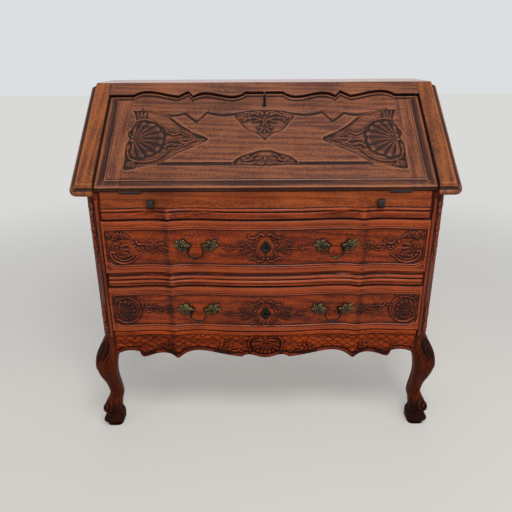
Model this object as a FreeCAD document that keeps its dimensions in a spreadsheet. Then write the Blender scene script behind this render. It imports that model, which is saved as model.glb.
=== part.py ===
import FreeCAD, Part

import math
import os
import re

from FreeCAD import Placement, Rotation, Vector

# A slant-front secretary chest of carved oak, in millimetres.
# The origin is on the floor under the middle of the chest, the front faces -Y and +Z is up.

# Driving sizes: cell name, value, what it measures
SIZES = {
    "carcase_width": (976, "outside width across the posts"),
    "carcase_depth": (488, "front plane to back"),
    "desk_height": (756, "floor to writing surface"),
    "post_tail": (26, "posts below the foot of the lower drawer"),
    "knee_reach": (26, "how far a knee stands out from the post"),
    "ankle_set": (14, "how far an ankle stands inside the post"),
    "post_width": (42, "post, across the front"),
    "post_depth": (46, "post, front to back"),
    "post_set": (1, "post face behind the front plane"),
    "post_cant": (22, "canted corner of a front post"),
    "side_thick": (22, "side rails"),
    "upper_side_rail": (66, "height of the upper side rail"),
    "lower_side_rail": (90, "height of the lower side rail"),
    "side_rail_drop": (66, "lower side rail below the foot of the lower drawer"),
    "side_arch": (34, "rise of the arch in the lower side rail"),
    "panel_thick": (10, "side panels"),
    "panel_set": (6, "side panel behind the outside face"),
    "back_thick": (12, "back boards"),
    "bottom_thick": (12, "bottom board"),
    "bottom_room": (12, "bottom board below the foot of the lower drawer"),
    "board_thick": (20, "writing board"),
    "slope_angle": (38, "slope of the closed flap, degrees from level"),
    "slope_length": (395, "hinge line to the edge of the top board, up the slope"),
    "cap_thick": (27, "slope strips, top rail and top board"),
    "cap_overhang": (36, "slope strips and top board beyond the carcase"),
    "cap_moulding": (19, "width of the moulding on their edges"),
    "cap_drop": (18, "slope strips below the hinge line"),
    "cap_corner": (22, "rounded lower corner of a slope strip"),
    "cheek_thick": (28, "slope cheeks"),
    "top_rail_width": (57, "top board down to the lowest place of the serpentine edge, along the slope"),
    "serpentine_rise": (22, "height of its waves"),
    "flap_thick": (19.5, "flap frame"),
    "flap_gap": (2, "gap beside and above the flap"),
    "hinge_gap": (0.6, "flap end to hinge line"),
    "stile_width": (70, "flap stiles"),
    "flap_foot": (80, "top of the flap's bottom rail, up the slope"),
    "flap_head_width": (52, "serpentine edge down to the line of the flap's top rail"),
    "flap_notch": (42, "depth of the two points of that rail"),
    "flap_panel_thick": (14, "flap panel"),
    "flap_panel_set": (2, "flap panel below the frame"),
    "frieze_height": (56, "rail under the writing board"),
    "rail_depth": (40, "front rails, front plane to their back"),
    "drawer_gap": (2, "gap above and below a drawer front"),
    "upper_drawer_height": (155, "front of the upper drawer"),
    "divider_height": (40, "rail between the drawers"),
    "lower_drawer_height": (143, "front of the lower drawer"),
    "apron_drop": (91, "apron, top to its lowest point"),
    "front_thick": (22, "drawer fronts and apron, from the front plane"),
    "front_lap": (6, "drawer front over the post"),
    "lap_gap": (0.4, "behind that lap"),
    "front_relief": (4, "how far lips stand out from the field"),
    "lip_height": (23, "plain lip along the top of a drawer front"),
    "foot_height": (21, "plain band along its bottom"),
    "bead_width": (4, "beads beside the field"),
    "wave_centre": (10, "forward bulge of the front in the middle"),
    "wave_ridge": (8, "forward reach of the sharp ridges"),
    "wave_valley": (2, "depth of the hollows"),
    "wave_end": (4, "forward reach beside the posts"),
    "ridge_place": (267, "ridges from the middle"),
    "inner_hollow": (215, "inner hollows from the middle"),
    "outer_hollow": (330, "outer hollows from the middle"),
    "ridge_flare": (17, "steep run beside a ridge"),
    "reed_radius": (6, "reeds on the rails"),
    "reed_groove": (1.5, "groove beside a reed"),
    "side_clear": (1.5, "drawer inside its opening, each side"),
    "run_clear": (0.3, "running clearance under drawers"),
    "drawer_side": (12, "drawer sides and back"),
    "drawer_room": (30, "room behind a closed drawer"),
    "drawer_inset": (8, "drawer sides below the top and above the foot of the front"),
    "drawer_floor": (8, "drawer bottoms"),
    "runner_height": (14, "drawer runners"),
    "runner_width": (34, "drawer runners"),
    "loper_place": (311, "lopers from the middle"),
    "loper_width": (88, "lopers"),
    "loper_thick": (21, "lopers"),
    "loper_length": (320, "lopers"),
    "loper_clear": (0.5, "play around a loper"),
    "guide_width": (20, "bars beside the lopers"),
    "deck_thick": (10, "boards under the lopers"),
    "loper_knob_size": (19, "square knob of a loper"),
    "loper_knob_reach": (14, "knob in front of the front plane"),
    "handle_place": (195, "handles from the middle"),
    "handle_span": (80, "between the two rosettes of a handle"),
    "handle_reach": (17, "bail axis in front of the front plane"),
    "upper_handle_rise": (83, "bail axis above the foot of the upper drawer"),
    "lower_handle_rise": (72, "bail axis above the foot of the lower drawer"),
    "rosette_radius": (22, "leaf rosettes"),
    "rosette_face": (9, "rosette face in front of the front plane"),
    "eye_radius": (5.5, "eyes that hold the bails"),
    "eye_root": (1, "neck of an eye inside its rosette"),
    "bail_rod": (2.2, "radius of a bail's rod"),
    "bail_bend": (22, "half the inside width of a bail"),
    "bail_drop": (7, "straight fall of a bail before its round end"),
    "bail_corner": (6, "bend between pin and arm"),
    "bail_bead": (4.5, "bead at the foot of a bail"),
    "pin_clear": (0.07, "running fit of rods and pins"),
    "plate_width": (30, "keyhole plates of the drawers"),
    "plate_stand": (2, "keyhole plate in front of the wood"),
    "flap_plate": (6, "radius of the flap's keyhole plate"),
    "keyhole_radius": (3.2, "round part of a keyhole"),
    "upper_lock_rise": (76, "upper keyhole above the drawer's foot"),
    "lower_lock_rise": (58, "lower keyhole above the drawer's foot"),
    "lock_width": (60, "lock cases"),
    "lock_thick": (12, "lock cases"),
    "lock_wall": (3, "plate in front of a lock's bolt"),
    "lock_tail": (20, "lock case below its keyhole"),
    "bolt_width": (18, "lock bolts"),
    "bolt_thick": (5, "lock bolts"),
    "bolt_length": (40, "lock bolts"),
    "bolt_throw": (8, "travel of a bolt"),
    "bolt_clear": (0.4, "play around a bolt"),
    "keyhole_rise": (18, "flap keyhole above the line of its top rail"),
    "flap_lock_height": (36, "flap lock case, along the slope"),
    "strike_thick": (2, "strike plate"),
    "key_radius": (2.6, "key stem"),
    "key_reach": (50, "key in front of the flap"),
    "key_bow": (9, "half width of the key's bow"),
    "key_bit": (6, "length of the key's bit beyond the stem"),
    "hinge_inset": (94, "middle of a hinge from the end of the flap"),
    "hinge_length": (58, "hinges"),
    "hinge_leaf": (28, "leaf, hinge line to its edge"),
    "leaf_thick": (2, "hinge leaves"),
    "knuckle_radius": (4, "hinge knuckles"),
    "knuckle_clear": (0.6, "room round the knuckles"),
    "hinge_pin": (1.6, "radius of the hinge pins"),
    "gallery_depth": (170, "pigeonholes, front to back"),
    "shelf_rise": (84, "underside of the shelf above the writing board"),
    "shelf_thick": (10, "shelf and dividers"),
    "bay_place": (157, "dividers from the middle"),
    "small_clear": (1, "small drawer in its bay"),
    "small_board": (8, "boards of the small drawers"),
    "small_front": (12, "front of a small drawer"),
    "small_knob": (7, "radius of a small drawer's knob"),
    "small_set": (2, "small drawer front behind the case front"),
}

doc = FreeCAD.newDocument("secretary_chest")
sheet = doc.addObject("Spreadsheet::Sheet", "sizes")
for row, (alias, (value, words)) in enumerate(SIZES.items(), 1):
    sheet.set(f"A{row}", words)
    sheet.set(f"B{row}", str(value))
    sheet.setAlias(f"B{row}", alias)
doc.recompute()

# Places that several pieces share, worked out from the sizes
HALF = "carcase_width / 2"
OPENING = "(carcase_width / 2 - post_width)"
FRONT = "(knee_reach - carcase_depth) / 2"
BACK = "(knee_reach + carcase_depth) / 2"
POST_FRONT = f"({FRONT} + post_set)"
POST_BACK = f"({FRONT} + post_depth)"
REAR_POST = f"({BACK} - post_depth)"
BACK_FACE = f"({BACK} - back_thick)"
SIDE_FACE = f"({HALF} - side_thick)"
BAY_HALF = f"({HALF} - cheek_thick)"
CAP_HALF = f"({HALF} + cap_overhang)"
FLAP_HALF = f"({BAY_HALF} - flap_gap)"
STILE_EDGE = f"({FLAP_HALF} - stile_width)"
BOARD_FOOT = "(desk_height - board_thick)"
FRIEZE_FOOT = f"({BOARD_FOOT} - frieze_height)"
UPPER_TOP = f"({FRIEZE_FOOT} - drawer_gap)"
UPPER_FOOT = f"({UPPER_TOP} - upper_drawer_height)"
DIVIDER_TOP = f"({UPPER_FOOT} - drawer_gap)"
DIVIDER_FOOT = f"({DIVIDER_TOP} - divider_height)"
LOWER_TOP = f"({DIVIDER_FOOT} - drawer_gap)"
LOWER_FOOT = f"({LOWER_TOP} - lower_drawer_height)"
APRON_TOP = f"({LOWER_FOOT} - drawer_gap)"
RAIL_BACK = f"({FRONT} + rail_depth)"
FRONT_BACK = f"({FRONT} + front_thick)"
CAP_TOP = "(desk_height + slope_length * sin(slope_angle) + cap_thick * cos(slope_angle))"
CAP_FOOT = f"({CAP_TOP} - cap_thick)"
CAP_EDGE = f"({FRONT} + slope_length * cos(slope_angle) - cap_thick * sin(slope_angle))"
GALLERY_FRONT = f"({BACK_FACE} - gallery_depth)"
SHELF_FOOT = "(desk_height + shelf_rise)"
LEG_TOP = f"({LOWER_FOOT} - post_tail)"
RAIL_FOOT = f"({LOWER_FOOT} - side_rail_drop)"
BOTTOM_TOP = f"({LOWER_FOOT} - bottom_room)"
BOTTOM_FOOT = f"({BOTTOM_TOP} - bottom_thick)"
SERPENTINE = "(slope_length - top_rail_width)"
FLAP_HEAD = f"({SERPENTINE} - flap_head_width)"
KEYHOLE = f"({FLAP_HEAD} + keyhole_rise)"
HINGE = f"({FLAP_HALF} - hinge_inset)"

WORD = re.compile(r"[a-z_]+")
SLOPE_AXIS = Vector(1, 0, 0)
ACROSS = Rotation(Vector(0, 1, 0), 90)
FACING = Rotation(Vector(1, 0, 0), 90)


# Helpers that make objects of the document and bind their sizes to the sheet
def number(expression):
    """The value of an expression on the sheet's sizes."""
    return float(sheet.evalExpression(expression))


def bind(item, prop, expression):
    """Bind one property of an object to an expression on the sheet's sizes."""
    named = WORD.sub(lambda word: f"sizes.{word[0]}" if word[0] in SIZES else word[0], expression)
    item.setExpression(prop, named)


def new(kind, label):
    item = doc.addObject(kind, label)
    item.Label = label
    return item


def place(item, x, y, z):
    for axis, expression in zip("xyz", (x, y, z)):
        bind(item, f"Placement.Base.{axis}", expression)
    return item


def box(label, x, y, z):
    """A board between two places on each axis."""
    item = new("Part::Box", label)
    for prop, (low, high) in zip(("Length", "Width", "Height"), (x, y, z)):
        bind(item, prop, f"({high}) - ({low})")
    return place(item, x[0], y[0], z[0])


def on_slope(item, x, along, lift):
    """Stand an object on the flap's slope: along runs up it and lift stands out of it."""
    item.Placement = Placement(Vector(), Rotation(SLOPE_AXIS, 1))
    bind(item, "Placement.Rotation.Angle", "slope_angle")
    y = f"{FRONT} + ({along}) * cos(slope_angle) - ({lift}) * sin(slope_angle)"
    z = f"desk_height + ({along}) * sin(slope_angle) + ({lift}) * cos(slope_angle)"
    return place(item, x, y, z)


def slope_box(label, x, along, lift):
    """A board that lies on the slope."""
    item = new("Part::Box", label)
    for prop, (low, high) in zip(("Length", "Width", "Height"), (x, along, lift)):
        bind(item, prop, f"({high}) - ({low})")
    return on_slope(item, x[0], along[0], lift[0])


def rod(label, radius, length, turn, x, y, z):
    """A cylinder from a place, along the direction that the turn gives its Z axis."""
    item = new("Part::Cylinder", label)
    item.Placement = Placement(Vector(), turn)
    bind(item, "Radius", radius)
    bind(item, "Height", length)
    return place(item, x, y, z)


def ball(label, radius, x, y, z):
    item = new("Part::Sphere", label)
    item.Placement = Placement(Vector(), FACING)
    bind(item, "Radius", radius)
    return place(item, x, y, z)


def cut(label, base, tool):
    item = new("Part::Cut", label)
    item.Base = base
    item.Tool = tool
    return item


def common(label, base, tool):
    item = new("Part::Common", label)
    item.Base = base
    item.Tool = tool
    return item


def fuse(label, *pieces):
    item = new("Part::MultiFuse", label)
    item.Shapes = list(pieces)
    return item


def group(label, *pieces):
    """Separate solids that share one node."""
    item = new("Part::Compound", label)
    item.Links = list(pieces)
    return item


def mirrored(label, source):
    """The same piece on the left side."""
    item = new("Part::Mirroring", label)
    item.Source = source
    item.Normal = (1, 0, 0)
    item.Base = (0, 0, 0)
    return item


def form(label, shape):
    """A shape made by curves and lofts, as an object of the document."""
    item = new("Part::Feature", label)
    item.Shape = shape
    return item


def slope_form(label, shape):
    return on_slope(form(label, shape), "0", "0", "0")


# Curves: the wavy front, the serpentine edges and the moulded profiles
def curve(points):
    """A smooth edge through points, or a straight one through two."""
    vectors = [Vector(*point) for point in points]
    if len(vectors) == 2:
        return Part.LineSegment(*vectors).toShape()
    spline = Part.BSplineCurve()
    spline.interpolate(vectors)
    return spline.toShape()


def chain(corners):
    """Edges joining a list of points that ends where the next list begins."""
    return [curve(points) for points in corners]


def wave_edges(half, forward, height):
    """The front line in plan, from the left end to the right one, with its two sharp ridges."""
    plane = number(FRONT) - forward
    ridge = number("ridge_place")
    flare = number("ridge_flare")
    hollow = number("inner_hollow")
    outer = number("outer_hollow")
    dip = number("wave_valley")
    crest = number("wave_ridge")
    bulge = number("wave_centre")
    end = number("wave_end")
    middle = [(ridge, -crest), (ridge - flare, -crest * 0.3), (hollow, dip), (hollow / 2, -bulge * 0.6)]
    wing = [(ridge, -crest), (ridge + flare, -crest * 0.3), (outer, dip), (half, -end)]
    left = [(-x, plane + y, height) for x, y in reversed(wing)]
    inner = [(-x, plane + y, height) for x, y in middle] + [(0, plane - bulge, height)]
    inner += [(x, plane + y, height) for x, y in reversed(middle)]
    right = [(x, plane + y, height) for x, y in wing]
    return chain([left, inner, right])


def wave_block(half, back, levels):
    """A solid behind the wavy front, moulded by (height, forward) levels from foot to top."""
    wires = []
    for height, forward in levels:
        front = wave_edges(half, forward, height)
        start = front[0].Vertexes[0].Point
        finish = front[-1].Vertexes[-1].Point
        rest = [finish, Vector(half, back, height), Vector(-half, back, height), start]
        sides = [Part.LineSegment(a, b).toShape() for a, b in zip(rest, rest[1:])]
        wires.append(Part.Wire(front + sides))
    return Part.makeLoft(wires, True, True)


def reed(middle, radius, steps=6):
    """Levels of a half-round reed, from its foot to its top."""
    angles = [math.pi * (step / steps - 0.5) for step in range(steps + 1)]
    return [(middle + radius * math.sin(a), radius * math.cos(a) - radius * 0.5) for a in angles]


def serpentine_edges(half, shift):
    """The wavy edge between top rail and flap, from right to left, in slope coordinates."""
    low = number(SERPENTINE) + shift
    rise = number("serpentine_rise")
    inner = number(STILE_EDGE)
    flat = 0.3
    swell = [(inner, flat), (inner * 0.955, 0.85), (inner * 0.79, 0.7), (inner * 0.66, 0.1)]
    point = [(inner * 0.66, 0.1), (inner * 0.585, 1)]
    fall = [(inner * 0.585, 1), (inner * 0.545, 0.05)]
    belly = [(inner * 0.545, 0.05), (inner * 0.45, 0.72), (inner * 0.25, 0), (inner * 0.145, 0.82)]
    top = [(inner * 0.145, 0.82), (-inner * 0.145, 0.82)]
    runs = [[(half, flat), (inner, flat)], swell, point, fall, belly]
    left = [[(-x, share) for x, share in reversed(run)] for run in reversed(runs)]
    return chain([[(x, low + share * rise, 0) for x, share in run] for run in runs + [top] + left])


def notch_edges():
    """The lower edge of the flap's top rail, with its two downward points, from left to right."""
    edge = number(STILE_EDGE)
    line = number(FLAP_HEAD)
    drop = number("flap_notch")
    wing = [(edge, 0), (edge * 0.87, 0), (edge * 0.71, -0.33), (edge * 0.6, -0.16)]
    down = [(edge * 0.6, -0.16), (edge * 0.505, -1)]
    up = [(edge * 0.505, -1), (edge * 0.43, -0.05)]
    dip = [(edge * 0.43, -0.05), (edge * 0.27, -0.3), (edge * 0.13, -0.05), (0, 0)]
    runs = [wing, down, up, dip]
    left = [[(-x, share) for x, share in run] for run in runs]
    right = [list(reversed(run)) for run in reversed(runs)]
    return chain([[(x, line + share * drop, 0) for x, share in run] for run in left + right])


def slab(edges, thick):
    """A board of a closed outline that is drawn at lift 0, with its thickness upwards."""
    return Part.Face(Part.Wire(Part.__sortEdges__(edges))).extrude(Vector(0, 0, thick))


# Profile of the moulded edge of strips and top board: share of thickness, share of set-in
CAP_PROFILE = [
    (0, 0.4), (0.1, 0.14), (0.26, 0), (0.42, 0.04), (0.54, 0.2), (0.6, 0.42),
    (0.66, 0.66), (0.78, 0.84), (0.9, 0.9), (0.92, 1), (1, 1),
]

# Outline of a leg: share of its height, outer share of knee reach, inner share of ankle set
LEG_PROFILE = [
    (1, 0, -0.03), (0.92, 0.36, -0.12), (0.83, 0.83, 0.06), (0.745, 0.996, 0.45), (0.66, 0.92, 0.7),
    (0.55, 0.56, 0.72), (0.47, 0.23, 0.55), (0.41, 0.09, 0.39), (0.36, 0.03, 0.28), (0.31, 0.2, 0.3),
    (0.265, 0.51, 0.55), (0.225, 0.74, 0.65), (0.19, 0.82, 0.75), (0.15, 0.6, 0.6),
    (0.11, 0.66, 0.35), (0.045, 0.7, 0.36), (0, 0.6, 0.7),
]

# Lower edge of the apron, right half: share of the opening, share of the drop below its top
APRON_EDGE = [
    [(1, 0.84), (0.89, 0.71), (0.85, 0.77)],
    [(0.85, 0.77), (0.822, 0.98), (0.78, 0.93), (0.68, 0.835), (0.63, 0.88)],
    [(0.63, 0.88), (0.588, 1)],
    [(0.588, 1), (0.547, 0.87)],
    [(0.547, 0.87), (0.45, 0.75), (0.36, 0.8), (0.22, 0.91), (0.157, 0.94)],
    [(0.157, 0.94), (0.108, 0.85), (0.05, 0.92), (0, 0.955)],
]


# Legs and posts
def leg_section(x0, x1, y0, y1, height, round_share, cant_share):
    """A square section with rounded corners, the front outer one by a share of its own."""
    side = min(x1 - x0, y1 - y0)
    corners = [(x1, y0, -90), (x1, y1, 0), (x0, y1, 90), (x0, y0, 180)]
    edges = []
    for x, y, turn in corners:
        radius = side * (cant_share if turn < 0 else round_share)
        inset_x = math.copysign(radius, x - (x0 + x1) / 2)
        inset_y = math.copysign(radius, y - (y0 + y1) / 2)
        middle = Vector(x - inset_x, y - inset_y, height)
        circle = Part.Circle(middle, Vector(0, 0, 1), radius)
        edges.append(circle.toShape(math.radians(turn), math.radians(turn + 90)))
    sides = []
    for here, after in zip(edges, edges[1:] + edges[:1]):
        sides += [here, Part.LineSegment(here.Vertexes[-1].Point, after.Vertexes[0].Point).toShape()]
    return Part.Wire(sides)


def cabriole(front):
    """The curved leg under a right-hand post, at the front or at the back."""
    reach = number("knee_reach")
    rear_share = number("post_depth / (post_width + knee_reach)")
    wires = []
    for high, out, inward in LEG_PROFILE:
        outer = number(HALF) + out * reach
        inner = number(OPENING) + inward * number("ankle_set")
        thick = outer - inner
        near = number(FRONT) - out * reach if front else number(BACK) - thick * rear_share
        far = near + thick if front else number(BACK)
        round_share = 0.1 if high == 1 else 0.3
        cant_share = max(0.3, 0.3 + 0.5 * (high - 0.7) / 0.3) if front else round_share
        wires.append(leg_section(inner, outer, near, far, high * number(LEG_TOP), round_share, cant_share))
    return Part.makeLoft(wires, True, False)


post = box("front_post", (OPENING, HALF), (POST_FRONT, POST_BACK), (LEG_TOP, "desk_height"))
cant = new("Part::Box", "front_post_cant")
cant.Placement = Placement(Vector(), Rotation(Vector(0, 0, 1), -45))
bind(cant, "Length", "2 * post_cant")
bind(cant, "Width", "4 * post_cant")
bind(cant, "Height", "desk_height")
place(cant, f"{HALF} - 2 * post_cant", f"{POST_FRONT} - post_cant", "0")
canted = cut("front_post_canted", post, cant)
front_leg = fuse("front_leg_right", canted, form("front_cabriole", cabriole(True)))
rear_post = box("rear_post", (OPENING, HALF), (REAR_POST, BACK), (LEG_TOP, "desk_height"))
rear_leg = fuse("rear_leg_right", rear_post, form("rear_cabriole", cabriole(False)))
nodes = [front_leg, mirrored("front_leg_left", front_leg), rear_leg, mirrored("rear_leg_left", rear_leg)]

# Sides, back and bottom
between = (POST_BACK, REAR_POST)
side = (SIDE_FACE, HALF)
lower_rail_top = f"({RAIL_FOOT} + lower_side_rail)"
upper_rail_foot = "(desk_height - upper_side_rail)"
panel_out = f"({HALF} - panel_set)"
panel_x = (f"{panel_out} - panel_thick", panel_out)
panel = box("side_panel_right", panel_x, between, (lower_rail_top, upper_rail_foot))
upper_rail = box("side_rail_upper", side, between, (upper_rail_foot, "desk_height"))
rail_blank = box("side_rail_blank", side, between, (RAIL_FOOT, lower_rail_top))
arch_half = f"({REAR_POST} - {POST_BACK}) * 0.42"
arch_radius = f"(({arch_half})^2 + side_arch^2) / (2 * side_arch)"
arch_middle = f"({POST_BACK} + {REAR_POST}) / 2"
arch = rod(
    "side_rail_arch", arch_radius, "2 * side_thick", ACROSS,
    f"{SIDE_FACE} - side_thick / 2", arch_middle, f"{RAIL_FOOT} + side_arch - {arch_radius}",
)
lower_rail = cut("side_rail_lower", rail_blank, arch)
rails = group("side_rails_right", upper_rail, lower_rail)
back_low = box("back_low", (f"-{OPENING}", OPENING), (BACK_FACE, BACK), (BOTTOM_FOOT, "desk_height"))
back_high = box("back_high", (f"-{BAY_HALF}", BAY_HALF), (BACK_FACE, BACK), ("desk_height", CAP_FOOT))
bottom = box(
    "bottom_board", (f"-{OPENING}", OPENING), (FRONT_BACK, BACK_FACE),
    (BOTTOM_FOOT, BOTTOM_TOP),
)
nodes += [panel, mirrored("side_panel_left", panel), rails, mirrored("side_rails_left", rails)]
nodes += [group("back_board", back_low, back_high), bottom]

# Front rails: frieze with the loper notches, divider and apron
half_opening = number(OPENING)
rail_back = number(RAIL_BACK)
reed_radius = number("reed_radius")
frieze_foot = number(FRIEZE_FOOT)
loper_foot = number(f"{BOARD_FOOT} - loper_thick - 2 * loper_clear")
groove = number("reed_groove")
frieze_reed = reed(loper_foot - reed_radius - groove, reed_radius)
frieze_levels = [(frieze_foot, 0), (frieze_reed[0][0] - groove, 0)] + frieze_reed
frieze_levels += [(loper_foot - groove / 2, 0), (number(BOARD_FOOT), 0)]
frieze_blank = form("frieze_blank", wave_block(half_opening, rail_back, frieze_levels))
notch_x = ("loper_place - loper_width / 2 - loper_clear", "loper_place + loper_width / 2 + loper_clear")
notch_z = (f"{BOARD_FOOT} - loper_thick - 2 * loper_clear", f"{BOARD_FOOT} + loper_clear")
notch = box("loper_notch", notch_x, (f"{FRONT} - rail_depth", f"{RAIL_BACK} + rail_depth"), notch_z)
notches = group("loper_notches", notch, mirrored("loper_notch_left", notch))


def mortise(label, foot):
    """The slot in a rail that takes a drawer lock's bolt."""
    deep = "2 * bolt_throw"
    return box(
        label, ("-bolt_width / 2 - bolt_clear", "bolt_width / 2 + bolt_clear"),
        (f"{FRONT_BACK} + lock_wall - bolt_clear", f"{FRONT_BACK} + lock_wall + bolt_thick + bolt_clear"),
        (f"{foot} - bolt_clear", f"{foot} + {deep}"),
    )


frieze_open = cut("frieze_open", frieze_blank, notches)
frieze = cut("frieze_rail", frieze_open, mortise("frieze_mortise", FRIEZE_FOOT))
divider_foot = number(DIVIDER_FOOT)
divider_top = number(DIVIDER_TOP)
set_back = number("front_relief")
low_reed = reed(divider_foot + groove + 2 * reed_radius, reed_radius)
high_reed = reed(low_reed[-1][0] + reed_radius + groove, reed_radius)
divider_levels = [(divider_foot, -set_back), (low_reed[0][0] - groove, -set_back)] + low_reed + high_reed
divider_levels += [(high_reed[-1][0] + groove, -set_back), (divider_top, -set_back / 2)]
divider_blank = form("divider_blank", wave_block(half_opening, rail_back, divider_levels))
divider = cut("drawer_divider", divider_blank, mortise("divider_mortise", DIVIDER_FOOT))

apron_top = number(APRON_TOP)
apron_drop = number("apron_drop")
apron_foot = apron_top - apron_drop
apron_lip = number("front_relief")
apron_levels = [
    (apron_foot, 0), (apron_top - 3 * apron_lip, 0), (apron_top - 2.5 * apron_lip, apron_lip),
    (apron_top - apron_lip, apron_lip), (apron_top, apron_lip / 2),
]
apron_block = form("apron_block", wave_block(half_opening, number(FRONT_BACK), apron_levels))


def apron_outline():
    """The apron's board in elevation, with the shaped lower edge."""
    runs = [[(x * half_opening, 0, apron_top - down * apron_drop) for x, down in run] for run in APRON_EDGE]
    left = [[(-x, y, z) for x, y, z in reversed(run)] for run in reversed(runs)]
    lower = chain(runs + left)
    corners = [Vector(*left[-1][-1]), Vector(-half_opening, 0, apron_top), Vector(half_opening, 0, apron_top)]
    corners.append(Vector(*runs[0][0]))
    sides = [Part.LineSegment(a, b).toShape() for a, b in zip(corners, corners[1:])]
    face = Part.Face(Part.Wire(lower + sides))
    face.translate(Vector(0, -number("carcase_depth"), 0))
    return face.extrude(Vector(0, 2 * number("carcase_depth"), 0))


apron_board = common("apron_board", apron_block, form("apron_outline", apron_outline()))
apron = cut("front_apron", apron_board, group("front_legs", *nodes[:2]))
nodes += [frieze, divider, apron]

# Writing board, notched round the posts
board_y = (f"{FRONT} + hinge_gap / 2", BACK_FACE)
board_blank = box("board_blank", (f"-{SIDE_FACE}", SIDE_FACE), board_y, (BOARD_FOOT, "desk_height"))
whole_height = ("0", "2 * desk_height")
post_room = box("board_front_notch", (OPENING, HALF), (f"{FRONT} - post_depth", POST_BACK), whole_height)
rear_room = box("board_rear_notch", (OPENING, HALF), (REAR_POST, f"{BACK} + post_depth"), whole_height)
post_rooms = group(
    "board_notches", post_room, rear_room,
    mirrored("board_front_notch_left", post_room), mirrored("board_rear_notch_left", rear_room),
)
board_shape = cut("board_shape", board_blank, post_rooms)

# Slope cheeks, slope strips, top board and top rail
over_slope = slope_box(
    "over_slope", (f"-{CAP_HALF}", CAP_HALF), ("-slope_length", "2 * slope_length"), ("0", "slope_length"),
)
cheek_blank = box("cheek_blank", (BAY_HALF, HALF), (POST_FRONT, BACK), ("desk_height", CAP_FOOT))
cheek = cut("slope_cheek_right", cheek_blank, over_slope)


def mitre(label, x, forward):
    """Everything on one side of the mitre between the slope and the top board."""
    item = new("Part::Box", label)
    item.Placement = Placement(Vector(), Rotation(SLOPE_AXIS, 1))
    bind(item, "Placement.Rotation.Angle", "slope_angle / 2")
    bind(item, "Length", f"2 * ({x})")
    bind(item, "Width", "slope_length")
    bind(item, "Height", "2 * slope_length")
    shift = "slope_length" if forward else "0"
    y = f"{CAP_EDGE} - {shift} * cos(slope_angle / 2) + slope_length * sin(slope_angle / 2)"
    z = f"{CAP_TOP} - {shift} * sin(slope_angle / 2) - slope_length * cos(slope_angle / 2)"
    return place(item, f"-({x})", y, z)


def strip_outline(lift, set_in):
    """A slope strip in plan at one lift: square inside, rounded at its lower outer corner."""
    inner = number(BAY_HALF)
    outer = number(CAP_HALF) - set_in
    low = -number("cap_drop") + set_in
    high = number("slope_length") + number("cap_thick")
    radius = number("cap_corner") - set_in
    arc = Part.Circle(Vector(outer - radius, low + radius, lift), Vector(0, 0, 1), radius)
    bend = arc.toShape(math.radians(270), math.radians(360))
    corners = [bend.Vertexes[-1].Point, Vector(outer, high, lift), Vector(inner, high, lift)]
    corners += [Vector(inner, low, lift), bend.Vertexes[0].Point]
    return Part.Wire([bend] + [Part.LineSegment(a, b).toShape() for a, b in zip(corners, corners[1:])])


cap_thick = number("cap_thick")
moulding = number("cap_moulding")
strip_wires = [strip_outline(share * cap_thick, set_in * moulding) for share, set_in in CAP_PROFILE]
strip_blank = slope_form("strip_blank", Part.makeLoft(strip_wires, True, True))
strip = cut("slope_strip_right", strip_blank, mitre("strip_mitre", CAP_HALF, False))


def top_outline(share, set_in):
    """The top board in plan at one height, with its ends set in by the moulding."""
    half = number(CAP_HALF) - set_in * moulding
    height = number(CAP_FOOT) + share * cap_thick
    near = number(CAP_EDGE) - cap_thick
    corners = [(-half, near), (half, near), (half, number(BACK)), (-half, number(BACK)), (-half, near)]
    return Part.makePolygon([Vector(x, y, height) for x, y in corners])


top_blank = form("top_blank", Part.makeLoft([top_outline(*level) for level in CAP_PROFILE], True, True))
top = cut("top_board", top_blank, mitre("top_mitre", f"{CAP_HALF} + cap_overhang", True))
rail_half = number(BAY_HALF)
rail_head = number("slope_length + cap_thick")
head_corners = [(-rail_half, rail_head, 0), (rail_half, rail_head, 0)]
rail_edges = serpentine_edges(rail_half, 0)
head_points = [rail_edges[-1].Vertexes[-1].Point, Vector(*head_corners[0]), Vector(*head_corners[1])]
head_points.append(rail_edges[0].Vertexes[0].Point)
head_edges = [Part.LineSegment(a, b).toShape() for a, b in zip(head_points, head_points[1:])]
rail_blank_top = slope_form("top_rail_blank", slab(rail_edges + head_edges, cap_thick))
rail_mitred = cut("top_rail_mitred", rail_blank_top, mitre("rail_mitre", CAP_HALF, False))

# Flap: bottom rail, stiles, shaped top rail and panel
flap_thick = number("flap_thick")
flap_edge = "hinge_gap"
stile_head = f"({SERPENTINE} + serpentine_rise * 0.3 - flap_gap)"
flap_lift = ("0", "flap_thick")
stile_blank = slope_box("flap_stile_blank", (STILE_EDGE, FLAP_HALF), (flap_edge, stile_head), flap_lift)
foot_blank = slope_box("flap_foot_blank", (f"-{STILE_EDGE}", STILE_EDGE), (flap_edge, "flap_foot"), flap_lift)
head_low = notch_edges()
inner_half = number(STILE_EDGE)
head_high = serpentine_edges(inner_half + number("flap_gap"), -number("flap_gap"))[1:-1]
head_sides = [
    Part.LineSegment(head_low[-1].Vertexes[-1].Point, head_high[0].Vertexes[0].Point).toShape(),
    Part.LineSegment(head_high[-1].Vertexes[-1].Point, head_low[0].Vertexes[0].Point).toShape(),
]
flap_head_blank = slope_form("flap_head_blank", slab(head_low + head_high + head_sides, flap_thick))
panel_lift = ("flap_thick - flap_panel_set - flap_panel_thick", "flap_thick - flap_panel_set")
panel_x = (f"-{STILE_EDGE}", STILE_EDGE)
panel_blank = slope_box("flap_panel_blank", panel_x, ("flap_foot", FLAP_HEAD), panel_lift)
flap_panel = cut("flap_panel", panel_blank, flap_head_blank)

# Flap hinges: a leaf on the board, a leaf on the flap and a pin
third = "hinge_length / 3"
hinge_low = f"{HINGE} - hinge_length / 2"


def hinge_rod(label, radius, start, length):
    return rod(label, radius, length, ACROSS, start, FRONT, "desk_height")


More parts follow.
